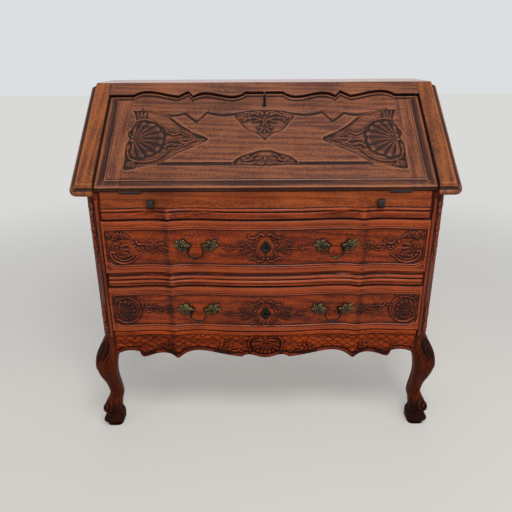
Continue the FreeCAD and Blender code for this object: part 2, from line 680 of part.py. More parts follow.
def knuckle(label, start, length, plate_is_flap):
    """One knuckle with the tongue that ties it to its leaf."""
    barrel = hinge_rod(f"{label}_barrel", "knuckle_radius", start, length)
    x = (start, f"{start} + {length}")
    reach = ("0", "knuckle_radius + 2 * knuckle_clear")
    if plate_is_flap:
        tongue = slope_box(f"{label}_tongue", x, reach, ("0", "leaf_thick"))
    else:
        y = (f"{FRONT} + {reach[0]}", f"{FRONT} + {reach[1]}")
        tongue = box(f"{label}_tongue", x, y, ("desk_height - leaf_thick", "desk_height"))
    return [barrel, tongue]


play = "pin_clear"
leaf_x = (hinge_low, f"{hinge_low} + hinge_length")
leaf_near = "knuckle_radius + knuckle_clear"
board_plate = box(
    "board_leaf_plate", leaf_x, (f"{FRONT} + {leaf_near}", f"{FRONT} + hinge_leaf"),
    ("desk_height - leaf_thick", "desk_height"),
)
flap_plate = slope_box("flap_leaf_plate", leaf_x, (leaf_near, "hinge_leaf"), ("0", "leaf_thick"))
gap = "knuckle_clear / 2"
outer_length = f"{third} - {gap}"
first = knuckle("board_knuckle_inner", hinge_low, outer_length, False)
last = knuckle("board_knuckle_outer", f"{hinge_low} + 2 * {third} + {gap}", outer_length, False)
middle = knuckle("flap_knuckle", f"{hinge_low} + {third} + {gap}", f"{third} - 2 * {gap}", True)
pin_bore = hinge_rod("hinge_bore", f"hinge_pin + {play}", hinge_low, "hinge_length")
board_leaf = cut("board_leaf_right", fuse("board_leaf_whole", board_plate, *first, *last), pin_bore)
flap_leaf = cut("flap_leaf_right", fuse("flap_leaf_whole", flap_plate, *middle), pin_bore)
pin = hinge_rod("hinge_pin_right", "hinge_pin", hinge_low, "hinge_length")
knuckle_room = hinge_rod(
    "knuckle_room", "knuckle_radius + knuckle_clear",
    f"{hinge_low} - knuckle_clear", "hinge_length + 2 * knuckle_clear",
)
board_bed = box(
    "board_leaf_bed", leaf_x, (f"{FRONT} - hinge_leaf", f"{FRONT} + hinge_leaf"),
    ("desk_height - leaf_thick", "desk_height + leaf_thick"),
)
flap_bed = slope_box("flap_leaf_bed", leaf_x, ("-hinge_leaf", "hinge_leaf"), ("-leaf_thick", "leaf_thick"))
board_room = fuse("board_hinge_room", board_bed, knuckle_room)
flap_room = fuse("flap_hinge_room", flap_bed, knuckle_room)
board_rooms = group("board_hinge_rooms", board_room, mirrored("board_hinge_room_left", board_room))
flap_rooms = group("flap_hinge_rooms", flap_room, mirrored("flap_hinge_room_left", flap_room))
writing_board = cut("writing_board", board_shape, board_rooms)
flap_foot = cut("flap_bottom_rail", foot_blank, flap_rooms)
stile = cut("flap_stile_right", stile_blank, flap_room)

# Flap lock: case let into the top rail, bolt, key, keyhole plate and strike plate
lock_foot = f"({KEYHOLE} - 0.4 * flap_lock_height)"
lock_head = f"({KEYHOLE} + 0.6 * flap_lock_height)"
lock_x = ("-lock_width / 2", "lock_width / 2")
bolt_x = ("-bolt_width / 2", "bolt_width / 2")
bolt_room_x = ("-bolt_width / 2 - bolt_clear", "bolt_width / 2 + bolt_clear")
bolt_lift = ("lock_wall", "lock_wall + bolt_thick")
bolt_room_lift = ("lock_wall - bolt_clear", "lock_wall + bolt_thick + bolt_clear")
bolt_head = f"({SERPENTINE} + serpentine_rise * 0.82 - flap_gap)"
bolt_foot = f"({bolt_head} - bolt_length)"
bolt = slope_box("flap_lock_bolt", bolt_x, (bolt_foot, bolt_head), bolt_lift)
bolt_room = slope_box(
    "flap_bolt_room", bolt_room_x,
    (f"{bolt_foot} - bolt_clear", f"{bolt_head} + 2 * bolt_throw"), bolt_room_lift,
)


def slope_rod(label, radius, along, low, high):
    """A cylinder that stands square to the slope, on the middle line."""
    item = new("Part::Cylinder", label)
    bind(item, "Radius", radius)
    bind(item, "Height", f"({high}) - ({low})")
    return on_slope(item, "0", along, low)


bit_room = slope_rod("key_bit_room", "key_radius + key_bit + 2 * bolt_clear", KEYHOLE, *bolt_room_lift)
stem_room = slope_rod("key_stem_room", "key_radius + pin_clear", KEYHOLE, "lock_wall", "2 * flap_thick")
lock_rooms = fuse("flap_lock_rooms", bolt_room, bit_room, stem_room)
case_blank = slope_box("flap_lock_blank", lock_x, (lock_foot, lock_head), ("0", "lock_thick"))
lock_case = cut("flap_lock_case", case_blank, lock_rooms)
rail_rooms = fuse("flap_rail_rooms", case_blank, bolt_room, stem_room)
flap_head = cut("flap_top_rail", flap_head_blank, rail_rooms)
plate_round = slope_rod("flap_plate_round", "flap_plate", KEYHOLE, "flap_thick", "flap_thick + plate_stand")
flap_plate_cut = cut("flap_keyhole_plate", plate_round, stem_room)
bow_lift = "(flap_thick + key_reach - key_bow)"
stem = slope_rod("key_stem", "key_radius", KEYHOLE, "lock_wall", f"{bow_lift} - key_bow + key_radius / 2")
collar_lift = "(flap_thick + key_reach / 2)"
collar = slope_rod("key_collar", "1.7 * key_radius", KEYHOLE, collar_lift, f"{collar_lift} + key_radius")
bit_along = (f"{KEYHOLE} - key_radius / 2", f"{KEYHOLE} + key_radius / 2")
bit = slope_box("key_bit", ("-key_radius - key_bit", "0"), bit_along, bolt_lift)
bow = new("Part::Torus", "key_bow")
bow.Placement = Placement(Vector(), ACROSS)
bind(bow, "Radius1", "key_bow - key_radius / 2")
bind(bow, "Radius2", "0.7 * key_radius")
place(
    bow, "0", f"{FRONT} + {KEYHOLE} * cos(slope_angle) - {bow_lift} * sin(slope_angle)",
    f"desk_height + {KEYHOLE} * sin(slope_angle) + {bow_lift} * cos(slope_angle)",
)
key = fuse("flap_key", stem, collar, bit, bow)
strike_line = f"({SERPENTINE} + serpentine_rise * 0.82)"
strike_x = ("-lock_width / 2", "lock_width / 2")
strike_lift = ("lock_wall - strike_thick", "lock_wall + bolt_thick + 2 * strike_thick")
strike_along = (strike_line, f"{strike_line} + strike_thick")
strike_blank = slope_box("strike_blank", strike_x, strike_along, strike_lift)
strike = cut("strike_plate", strike_blank, bolt_room)
top_rail = cut("top_rail", rail_mitred, fuse("top_rail_rooms", strike_blank, bolt_room))

nodes += [writing_board, cheek, mirrored("slope_cheek_left", cheek)]
nodes += [strip, mirrored("slope_strip_left", strip)]
nodes += [top, top_rail, strike]
nodes += [flap_foot, flap_head, group("flap_stiles", stile, mirrored("flap_stile_left", stile)), flap_panel]
nodes += [lock_case, bolt, key, flap_plate_cut]
nodes += [
    group("hinge_board_leaves", board_leaf, mirrored("board_leaf_left", board_leaf)),
    group("hinge_flap_leaves", flap_leaf, mirrored("flap_leaf_left", flap_leaf)),
    group("hinge_pins", pin, mirrored("hinge_pin_left", pin)),
]

# Lopers with their knobs, guides and decks
loper_z = (f"{BOARD_FOOT} - loper_clear - loper_thick", f"{BOARD_FOOT} - loper_clear")
loper_back = number(f"{FRONT} + loper_length")
loper_blank = form("loper_blank", wave_block(half_opening, loper_back, [(number(z), 0) for z in loper_z]))
loper_x = ("loper_place - loper_width / 2", "loper_place + loper_width / 2")
loper_span = box("loper_span", loper_x, (f"{FRONT} - loper_length", f"{FRONT} + 2 * loper_length"), loper_z)
loper = common("loper_right", loper_blank, loper_span)
knob_x = ("loper_place - loper_knob_size / 2", "loper_place + loper_knob_size / 2")
knob_middle = f"({BOARD_FOOT} - loper_clear - loper_thick / 2)"
knob_z = (f"{knob_middle} - loper_knob_size / 2", f"{knob_middle} + loper_knob_size / 2")
knob_y = (f"{FRONT} - loper_knob_reach", f"{FRONT} + loper_knob_reach")
knob_blank = box("loper_knob_blank", knob_x, knob_y, knob_z)
knob = cut("loper_knob_right", knob_blank, loper)
guide_y = (RAIL_BACK, f"{FRONT} + loper_length + rail_depth")
guide_z = (f"{BOARD_FOOT} - loper_thick - 2 * loper_clear", BOARD_FOOT)
inner_guide = box("loper_guide_inner", (f"{notch_x[0]} - guide_width", notch_x[0]), guide_y, guide_z)
outer_guide = box("loper_guide_outer", (notch_x[1], f"{notch_x[1]} + guide_width"), guide_y, guide_z)
deck = box(
    "loper_deck", (f"{notch_x[0]} - guide_width", f"{notch_x[1]} + guide_width"), guide_y,
    (f"{guide_z[0]} - deck_thick", guide_z[0]),
)
guides = group("loper_guides_right", inner_guide, outer_guide, deck)
nodes += [loper, mirrored("loper_left", loper), knob, mirrored("loper_knob_left", knob)]
nodes += [group("loper_guides", guides, mirrored("loper_guides_left", guides))]


# Drawers
def drawer_levels(foot, top):
    """Moulded levels of a drawer front: foot band, bead, sunk field, bead and lip."""
    lip = number("front_relief")
    bead = number("bead_width")
    ease = bead / 4
    field_foot = foot + number("foot_height")
    field_top = top - number("lip_height")
    return [
        (foot, lip / 3), (foot + 3 * ease, lip), (field_foot, lip), (field_foot + ease, lip / 2),
        (field_foot + 2 * ease, lip), (field_foot + bead, lip / 4), (field_foot + bead + ease, 0),
        (field_top - bead - ease, 0), (field_top - bead, lip / 4), (field_top - 2 * ease, lip),
        (field_top - ease, lip / 2), (field_top, lip), (top - 3 * ease, lip), (top, lip / 3),
    ]


def star(x, height, face, points=8):
    """A leaf rosette's plate: a star with eight blunt points, drawn upright and run back into the wood."""
    outer = number("rosette_radius")
    inner = outer * 0.6
    squash = 0.85
    corners = []
    for step in range(2 * points):
        angle = math.pi * step / points
        radius = outer if step % 2 == 0 else inner
        corners.append(Vector(x + radius * math.cos(angle), face, height + squash * radius * math.sin(angle)))
    plate = Part.Face(Part.makePolygon(corners + corners[:1]))
    return plate.extrude(Vector(0, number("rosette_face + front_thick / 2"), 0))


def bail_path(height):
    """Line and arcs of a bail's rod, hanging from its pins, with its middle at x = 0."""
    y = number(f"{FRONT} - handle_reach")
    end = number("handle_span / 2 + eye_radius")
    arm = number("bail_bend")
    bend = number("bail_corner")
    drop = number("bail_corner + bail_drop")
    slant = math.sqrt(0.5)

    def at(x, down):
        return Vector(x, y, height - down)

    def half(side):
        knee = (arm + bend - bend * slant, bend - bend * slant)
        pin = Part.LineSegment(at(side * end, 0), at(side * (arm + bend), 0))
        elbow = Part.Arc(at(side * (arm + bend), 0), at(side * knee[0], knee[1]), at(side * arm, bend))
        fall = Part.LineSegment(at(side * arm, bend), at(side * arm, drop))
        return [pin.toShape(), elbow.toShape(), fall.toShape()]

    sweep = Part.Arc(at(-arm, drop), at(0, drop + arm), at(arm, drop)).toShape()
    return Part.Wire(Part.__sortEdges__(half(-1) + [sweep] + half(1)))


def bail(label, height):
    """A hanging bail of round rod, with a barrel bead at its foot."""
    path = bail_path(height)
    start = path.OrderedVertexes[0].Point
    ring = Part.Wire(Part.Circle(start, Vector(1, 0, 0), number("bail_rod")).toShape())
    rod_form = form(f"{label}_rod", path.makePipeShell([ring], True, False))
    place(rod_form, "handle_place", "0", "0")
    low = f"{height} - bail_corner - bail_drop - bail_bend"
    bead = rod(
        f"{label}_bead", "bail_bead", "2 * bail_bead", ACROSS,
        "handle_place - bail_bead", f"{FRONT} - handle_reach", low,
    )
    return fuse(label, rod_form, bead)


def drawer(name, foot, top, handle_rise, lock_rise):
    """One long drawer: its front, box, bottom, handles, lock and keyhole plate."""
    lap_half = number(f"{OPENING} + front_lap")
    levels = drawer_levels(number(foot), number(top))
    blank = form(f"{name}_blank", wave_block(lap_half, number(FRONT_BACK), levels))
    lap_room = box(
        f"{name}_lap_room", (f"{OPENING} - side_clear", f"{HALF} + front_lap"),
        (f"{POST_FRONT} - lap_gap", POST_BACK), whole_height,
    )
    lap_rooms = group(f"{name}_lap_rooms", lap_room, mirrored(f"{name}_lap_room_left", lap_room))
    lapped = cut(f"{name}_lapped", blank, lap_rooms)
    keyhole_z = f"({foot} + {lock_rise})"
    keyhole = rod(
        f"{name}_keyhole", "keyhole_radius", "carcase_depth / 2", FACING,
        "0", f"{FRONT_BACK} + front_thick", keyhole_z,
    )
    front = cut(f"{name}_front", lapped, keyhole)

    side_out = f"({OPENING} - side_clear)"
    side_in = f"({side_out} - drawer_side)"
    rear = f"({BACK_FACE} - drawer_room)"
    low = f"({foot} + drawer_inset)"
    high = f"({top} - drawer_inset)"
    right = box(f"{name}_side_right", (side_in, side_out), (FRONT_BACK, rear), (low, high))
    back = box(f"{name}_back", (f"-{side_in}", side_in), (f"{rear} - drawer_side", rear), (low, high))
    walls = group(f"{name}_box", right, mirrored(f"{name}_side_left", right), back)
    floor = box(
        f"{name}_bottom", (f"-{side_in}", side_in),
        (FRONT_BACK, f"{rear} - drawer_side"), (low, f"{low} + drawer_floor"),
    )

    axis_y = f"{FRONT} - handle_reach"
    axis_z = f"({foot} + {handle_rise})"
    height = number(axis_z)
    eyes = []
    face = number(f"{FRONT} - rosette_face")
    for spot, side in (("outer", "+"), ("inner", "-")):
        x = f"(handle_place {side} handle_span / 2)"
        plate = form(f"{name}_star_{spot}", star(number(x), height, face))
        seated = cut(f"{name}_seated_{spot}", plate, front)
        neck = rod(
            f"{name}_neck_{spot}", "0.7 * eye_radius", "handle_reach - rosette_face + eye_root", FACING,
            x, f"{FRONT} - rosette_face + eye_root", axis_z,
        )
        eye = ball(f"{name}_eye_{spot}", "eye_radius", x, axis_y, axis_z)
        bore = rod(
            f"{name}_bore_{spot}", "bail_rod + pin_clear", "4 * eye_radius", ACROSS,
            f"{x} - 2 * eye_radius", axis_y, axis_z,
        )
        whole_eye = fuse(f"{name}_rosette_whole_{spot}", seated, neck, eye)
        eyes.append(cut(f"{name}_rosette_{spot}", whole_eye, bore))
    pair = group(f"{name}_rosettes_right", *eyes)
    rosettes = group(f"{name}_rosettes", pair, mirrored(f"{name}_rosettes_left", pair))

    plate_face = f"({FRONT} - wave_centre - plate_stand)"
    plate_blank = new("Part::Cylinder", f"{name}_plate_blank")
    plate_blank.Placement = Placement(Vector(), FACING)
    bind(plate_blank, "Radius", "plate_width / 2")
    bind(plate_blank, "Height", "plate_stand + front_thick")
    place(plate_blank, "0", f"{plate_face} + plate_stand + front_thick", keyhole_z)
    plate_seated = cut(f"{name}_plate_seated", plate_blank, lapped)
    plate = cut(f"{name}_keyhole_plate", plate_seated, keyhole)

    case_head = f"({top} - drawer_inset)"
    case_foot = f"({foot} + {lock_rise} - lock_tail)"
    lock_y = (FRONT_BACK, f"{FRONT_BACK} + lock_thick")
    slot_y = (f"{FRONT_BACK} + lock_wall - bolt_clear", f"{FRONT_BACK} + lock_wall + bolt_thick + bolt_clear")
    case = box(f"{name}_case", lock_x, lock_y, (case_foot, case_head))
    slot_z = (f"{case_head} - bolt_length - bolt_clear", f"{top} + bolt_length")
    slot = box(f"{name}_slot", bolt_room_x, slot_y, slot_z)
    lock = cut(f"{name}_lock", case, slot)
    bolt_y = (f"{FRONT_BACK} + lock_wall", f"{FRONT_BACK} + lock_wall + bolt_thick")
    tongue = box(f"{name}_bolt", bolt_x, bolt_y, (f"{case_head} - bolt_length", f"{top} - bolt_clear"))

    hanging = bail(f"{name}_bail_right", height)
    bails = [hanging, mirrored(f"{name}_bail_left", hanging)]
    return [front, walls, floor, rosettes, plate, lock, tongue] + bails


def runner(name, foot):
    """The rail under the right-hand side of a drawer."""
    outer = f"({OPENING} + drawer_side)"
    top = f"({foot} + drawer_inset - run_clear)"
    return box(name, (f"{outer} - runner_width", outer), between, (f"{top} - runner_height", top))


nodes += drawer("upper_drawer", UPPER_FOOT, UPPER_TOP, "upper_handle_rise", "upper_lock_rise")
nodes += drawer("lower_drawer", LOWER_FOOT, LOWER_TOP, "lower_handle_rise", "lower_lock_rise")
upper_runner = runner("upper_runner_right", UPPER_FOOT)
lower_runner = runner("lower_runner_right", LOWER_FOOT)
nodes += [group(
    "drawer_runners", upper_runner, lower_runner,
    mirrored("upper_runner_left", upper_runner), mirrored("lower_runner_left", lower_runner),
)]

# Pigeonhole case and its two small drawers
shelf_y = (GALLERY_FRONT, BACK_FACE)
bay_x = ("bay_place - shelf_thick / 2", "bay_place + shelf_thick / 2")
shelf = box("gallery_shelf", (f"-{BAY_HALF}", BAY_HALF), shelf_y, (SHELF_FOOT, f"{SHELF_FOOT} + shelf_thick"))
low_divider = box("gallery_low_divider", bay_x, shelf_y, ("desk_height", SHELF_FOOT))
high_divider = box("gallery_high_divider", bay_x, shelf_y, (f"{SHELF_FOOT} + shelf_thick", CAP_FOOT))
case = group(
    "pigeonhole_case", shelf, low_divider, high_divider,
    mirrored("gallery_low_divider_left", low_divider), mirrored("gallery_high_divider_left", high_divider),
)
small_x = (f"{bay_x[1]} + small_clear", f"{BAY_HALF} - small_clear")
small_front_y = f"({GALLERY_FRONT} + small_set)"
small_back = f"({BACK_FACE} - small_clear)"
small_z = ("desk_height + run_clear", f"{SHELF_FOOT} - small_clear")
small_face = box("small_face", small_x, (small_front_y, f"{small_front_y} + small_front"), small_z)
inside_y = (f"{small_front_y} + small_front", small_back)
near_side = box("small_near_side", (small_x[0], f"{small_x[0]} + small_board"), inside_y, small_z)
far_side = box("small_far_side", (f"{small_x[1]} - small_board", small_x[1]), inside_y, small_z)
inner_x = (f"{small_x[0]} + small_board", f"{small_x[1]} - small_board")
small_end = box("small_end", inner_x, (f"{small_back} - small_board", small_back), small_z)
small_floor = box(
    "small_floor", inner_x, (f"{small_front_y} + small_front", f"{small_back} - small_board"),
    (small_z[0], f"{small_z[0]} + small_board / 2"),
)
knob_at = (f"({small_x[0]} + {small_x[1]}) / 2", f"(desk_height + {SHELF_FOOT}) / 2")
small_neck = rod("small_neck", "small_knob / 2", "small_knob", FACING, knob_at[0], small_front_y, knob_at[1])
small_head = ball("small_head", "small_knob", knob_at[0], f"{small_front_y} - 1.6 * small_knob", knob_at[1])
small_grip = fuse("small_grip", small_neck, small_head)
small = group("small_drawer_right", small_face, near_side, far_side, small_end, small_floor, small_grip)
nodes += [case, small, mirrored("small_drawer_left", small)]

# Check every object, then write each piece
doc.recompute()
failed = [item.Label for item in doc.Objects if {"Invalid", "Error"} & set(item.State)]
failed += [item.Label for item in nodes if item.Shape.isNull() or not item.Shape.isValid()]
if failed:
    raise RuntimeError(f"objects that failed: {failed}")
os.makedirs("parts", exist_ok=True)
for item in nodes:
    item.Shape.exportStep(f"parts/{item.Label}.step")
whole = Part.makeCompound([item.Shape for item in nodes])
print(len(nodes), "pieces,", whole.BoundBox)
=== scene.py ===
# %% [markdown]
# A slant-front secretary chest of carved oak.
# The construction comes from the imported frame: every board, hinge and drawer is already there at its
# real size. This script adds what a carver, a polisher and a brass founder would add: relief on the
# fronts, wax and dirt in the wood, and leafy brass handles. It also paints shade into gaps and quirks and
# highlights onto some edges. It reads like a notebook, step by step.

# %% Load the frame
import math

import bmesh
import bpy
import numpy as np
from mathutils import Euler, Matrix, Vector
from mathutils.bvhtree import BVHTree


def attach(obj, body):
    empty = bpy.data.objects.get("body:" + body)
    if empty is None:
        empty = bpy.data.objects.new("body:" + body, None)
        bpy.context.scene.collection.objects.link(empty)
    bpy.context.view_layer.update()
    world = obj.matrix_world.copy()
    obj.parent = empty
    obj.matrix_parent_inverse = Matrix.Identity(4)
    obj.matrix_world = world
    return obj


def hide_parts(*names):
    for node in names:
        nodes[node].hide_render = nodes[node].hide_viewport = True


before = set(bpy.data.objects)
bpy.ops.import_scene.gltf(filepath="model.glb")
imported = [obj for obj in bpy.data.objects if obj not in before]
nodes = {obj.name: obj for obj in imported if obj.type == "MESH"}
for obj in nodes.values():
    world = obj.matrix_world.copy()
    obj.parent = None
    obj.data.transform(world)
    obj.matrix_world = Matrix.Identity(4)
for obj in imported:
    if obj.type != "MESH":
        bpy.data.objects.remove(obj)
scene = bpy.context.scene
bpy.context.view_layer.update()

# %% [markdown]
# The camera comes first, because every later choice is judged through it.
# It stands about 1.1 m high and 1.57 m in front of the middle of the chest, and looks down by a bit over
# 21 degrees. A lens of 36 mm on a sensor of 36 mm gives its wide view.

# %% Camera
VIEW_FROM = (-0.027, -1.573, 1.100)
LOOK_DOWN = math.radians(21.5)
LEAN = math.radians(-0.3)
eye = bpy.data.cameras.new("view")
eye.lens = 36.07
eye.sensor_width = 36
camera = bpy.data.objects.new("view", eye)
turn = Euler((math.pi / 2 - LOOK_DOWN, 0, 0)).to_matrix().to_4x4() @ Matrix.Rotation(LEAN, 4, "Z")
camera.matrix_world = Matrix.Translation(VIEW_FROM) @ turn
scene.collection.objects.link(camera)
scene.camera = camera
print("camera at", VIEW_FROM)

# %% [markdown]
# Studio light. A ceiling lamp high in front draws a bright line along every moulding and leaves the
# hollows under it dark, which is how carved furniture reads best. Two weaker lamps keep the sides open, a
# third lights the back, and a dim world fills the rest. Big lamps give soft shadows. The floor is one
# plain plane.

# %% Studio
scene.view_settings.view_transform = "Standard"


def area_lamp(name, place, target, size, watts):
    """A square soft lamp that faces a target."""
    lamp = bpy.data.lights.new(name, "AREA")
    lamp.size = size
    lamp.energy = watts
    holder = bpy.data.objects.new(name, lamp)
    aim = (Vector(target) - Vector(place)).to_track_quat("-Z", "Y").to_matrix().to_4x4()
    holder.matrix_world = Matrix.Translation(place) @ aim
    scene.collection.objects.link(holder)


area_lamp("ceiling", (0.3, -1.7, 3.0), (0, -0.1, 0.5), 1.2, 64)
area_lamp("left", (-2.3, -2.2, 1.8), (0, 0, 0.45), 1.8, 17)
area_lamp("right", (2.3, -2.0, 2.0), (0, 0, 0.45), 1.8, 22)
area_lamp("behind", (0.0, 1.6, 2.4), (0, 0.1, 0.8), 1.6, 14)
floor_form = bmesh.new()
bmesh.ops.create_grid(floor_form, x_segments=1, y_segments=1, size=14)
floor_mesh = bpy.data.meshes.new("floor")
floor_form.to_mesh(floor_mesh)
floor_form.free()
floor = bpy.data.objects.new("floor", floor_mesh)
scene.collection.objects.link(floor)
print("studio: 4 lamps and a floor")

# %% [markdown]
# Shader sums. A finish is a small network of nodes, and most of it is arithmetic. Wrapping a socket in a
# class with + - * lets the finishes below be written as sums; every sum adds one Math node.


# %% Sums on sockets
class Wire:
    """One output of a finish's nodes, with the sums that finishes use."""

    def __init__(self, tree, socket):
        self.tree = tree
        self.socket = socket

    def node(self, kind, inputs, out=0, **settings):
        """A new node: its settings are set first, then its sockets get values or links."""
        made = self.tree.nodes.new(kind)
        for name, value in settings.items():
            if name == "stops":
                set_stops(made.color_ramp, value)
            else:
                setattr(made, name, value)
        for name, value in inputs.items():
            if isinstance(value, Wire):
                self.tree.links.new(value.socket, made.inputs[name])
            else:
                made.inputs[name].default_value = value
        return Wire(self.tree, made.outputs[out])

    def math(self, operation, first, second):
        return self.node("ShaderNodeMath", {0: first, 1: second}, operation=operation)

    def __add__(self, other):
        return self.math("ADD", self, other)

    def __sub__(self, other):
        return self.math("SUBTRACT", self, other)

    def __rsub__(self, other):
        return self.math("SUBTRACT", other, self)

    def __mul__(self, other):
        return self.math("MULTIPLY", self, other)

    __radd__ = __add__
    __rmul__ = __mul__

    def clear(self, low, high):
        """0 below low, 1 above high and a smooth rise between."""
        ends = {"From Min": low, "From Max": high, "Value": self}
        return self.node("ShaderNodeMapRange", ends, interpolation_type="SMOOTHSTEP")


def set_stops(ramp, stops):
    """Give a colour ramp its (place, colour) stops."""
    while len(ramp.elements) < len(stops):
        ramp.elements.new(1)
    for element, (place, shade) in zip(ramp.elements, stops):
        element.position = place
        element.color = shade


def shade(code):
    """A colour written as on a screen, such as 7a4a38, as linear light."""
    parts = [int(code[i:i + 2], 16) / 255 for i in (0, 2, 4)]
    return [c / 12.92 if c < 0.04045 else ((c + 0.055) / 1.055) ** 2.4 for c in parts] + [1]


def finish(name):
    """A new material: its first wire, to build on, and its shader."""
    material = bpy.data.materials.new(name)
    material.use_nodes = True
    shader = material.node_tree.nodes["Principled BSDF"]
    return material, Wire(material.node_tree, shader.outputs[0]), shader


def join(wire, shader, links):
    """Feed wires into the shader's own sockets."""
    for socket, value in links.items():
        wire.tree.links.new(value.socket, shader.inputs[socket])


def spotty(wire, place, scale, detail):
    """Noise without a direction."""
    return wire.node("ShaderNodeTexNoise", {"Vector": place, "Scale": scale, "Detail": detail})


def blend(wire, share, under, over):
    """A colour some share of the way from one to another."""
    return wire.node("ShaderNodeMix", {0: share, 6: under, 7: over}, 2, data_type="RGBA")


print("sums ready")

# %% [markdown]
# Floor and world. The backdrop of a studio is pale and even. It could be lit until it is pale, but then it
# would throw much light up under the chest. So floor and world show a pale colour only to rays that look,
# and stay dimmer for light that bounces.


# %% Floor and world
def looked_at(wire):
    """1 for rays that look, straight or by way of a mirror or glass, and 0 for light that bounces."""
    rays = ("Is Camera Ray", "Is Glossy Ray", "Is Transmission Ray")
    camera_ray, mirror_ray, glass_ray = (wire.node("ShaderNodeLightPath", {}, ray) for ray in rays)
    return wire.math("MAXIMUM", camera_ray, wire.math("MAXIMUM", mirror_ray, glass_ray))


floor_finish, wire, shader = finish("pale_floor")
spots = wire.node("ShaderNodeTexNoise", {"Scale": 3.0, "Detail": 4.0})
stops = [(0.3, shade("d6d1ca")), (0.7, shade("dcd8d1"))]
join(wire, shader, {"Base Color": wire.node("ShaderNodeValToRGB", {"Fac": spots}, stops=stops)})
shader.inputs["Roughness"].default_value = 0.7
place = wire.node("ShaderNodeTexCoord", {}, "Object")
away = wire.node("ShaderNodeVectorMath", {0: place}, "Value", operation="LENGTH").clear(0.9, 3.2)
glow = wire.node("ShaderNodeEmission", {"Color": shade("d9d9d7"), "Strength": 1.0})
lifted = looked_at(wire) * (0.35 + 0.65 * away)
surface = wire.node("ShaderNodeMixShader", {0: lifted, 1: wire, 2: glow})
wire.tree.links.new(surface.socket, wire.tree.nodes["Material Output"].inputs["Surface"])
floor_mesh.materials.append(floor_finish)

world = bpy.data.worlds.new("studio")
world.use_nodes = True
scene.world = world
sky = Wire(world.node_tree, world.node_tree.nodes["Background"].outputs[0])
fill = sky.node("ShaderNodeBackground", {"Color": shade("f2f4f6"), "Strength": 0.24})
backdrop = sky.node("ShaderNodeBackground", {"Color": shade("dcdfe1"), "Strength": 1.0})
surround = sky.node("ShaderNodeMixShader", {0: looked_at(sky), 1: fill, 2: backdrop})
world.node_tree.links.new(surround.socket, world.node_tree.nodes["World Output"].inputs["Surface"])
print("floor and world finished")

# %% [markdown]
# Oak. Old waxed oak has four things that the eye looks for: long streaks along the grain, darker
# growth lines that wander across it, fine open pores, and a dirt that settles in every hollow while hands
# rub the high places light. The first three come from noise that is stretched along the grain, so each
# board needs to know which way its grain runs. The fourth is a patina attribute, which the carved
# pieces store per point: below zero in hollows, above zero on ridges, and zero on a plain board. The
# same attribute also carries painted shade in gaps, quirks and under edges, and painted highlights
# along some edges and ridges; the oak turns dark or light with it in the same way.

# %% Oak finishes
SLOPE = math.radians(38)
GRAIN_TURNS = {
    "across": (0, 0, 0),
    "deep": (0, 0, -math.pi / 2),
    "upright": (0, math.pi / 2, 0),
    "slope": (-SLOPE, 0, -math.pi / 2),
}


def oak(name, grain, light, deep, dirt_and_shade, gloss, shine):
    """Waxed oak with its grain one way, from a light to a deep colour, with dirt and painted shade in its
    hollows and gaps.
    """
    material, wire, shader = finish(name)
    place = wire.node("ShaderNodeTexCoord", {}, "Object")
    along = wire.node("ShaderNodeMapping", {"Vector": place, "Rotation": GRAIN_TURNS[grain]})

    def streaks(stretch, detail, offset):
        """Noise drawn out along the grain: features per metre along and across it."""
        sizes = {"Vector": along, "Scale": (stretch[0], stretch[1], stretch[1]), "Location": (offset, 0, 0)}
        spot = wire.node("ShaderNodeMapping", sizes)
        return spotty(wire, spot, 1.0, detail)

    broad = streaks((2.2, 26), 3.0, 3.1)
    fibre = streaks((7, 260), 4.0, 7.7)
    pores = streaks((60, 1100), 2.0, 1.3).clear(0.56, 0.7)
    cloud = spotty(wire, place, 9.0, 3.0)
    speckle = spotty(wire, place, 260.0, 4.0)
    smoke = spotty(wire, place, 5.0, 4.0).clear(0.48, 0.72)
    wander = wire.node("ShaderNodeMapping", {"Vector": along, "Scale": (1.1, 14, 14)})
    drift = {"Vector": wander, "Scale": 1.5, "Distortion": 5.0, "Detail": 3.0, "Detail Scale": 1.4}
    growth = wire.node("ShaderNodeTexWave", drift, 1, bands_direction="DIAGONAL")
    tone = 0.14 * broad + 0.5 * fibre + 0.12 * growth + 0.36 * cloud + 0.66 * speckle - 0.39
    stops = [(0.39, shade(deep)), (0.61, shade(light))]
    wood = wire.node("ShaderNodeValToRGB", {"Fac": tone}, stops=stops)
    # Below zero the attribute holds dirt and painted shade, above zero polish and painted highlights.
    patina = wire.node("ShaderNodeAttribute", {}, "Fac", attribute_name="patina")
    hollow = (0 - patina).clear(0.02, 0.75)
    proud = patina.clear(0.1, 0.8)
    dark = [c * 0.4 for c in shade(deep)[:3]] + [1]
    wood = blend(wire, 0.6 * pores + 0.36 * smoke, wood, dark)
    # The light colour of ridges is partly polish and partly a painted highlight; the dark one is dirt and
    # painted shade.
    worn_and_highlight = [min(1, c * more + 0.01) for c, more in zip(shade(light), (1.3, 1.5, 1.7))] + [1]
    wood = blend(wire, 0.55 * proud, wood, worn_and_highlight)
    wood = blend(wire, 0.94 * hollow, wood, shade(dirt_and_shade))
    height = 0.6 * fibre + 0.4 * broad - 0.8 * pores
    bump = {"Height": height, "Strength": 0.2, "Distance": 0.0005}
    rough = gloss + 0.16 * fibre + 0.3 * hollow - 0.08 * proud
    links = {"Base Color": wood, "Roughness": rough, "Normal": wire.node("ShaderNodeBump", bump)}
    join(wire, shader, links)
    shader.inputs["Specular IOR Level"].default_value = shine
    return material


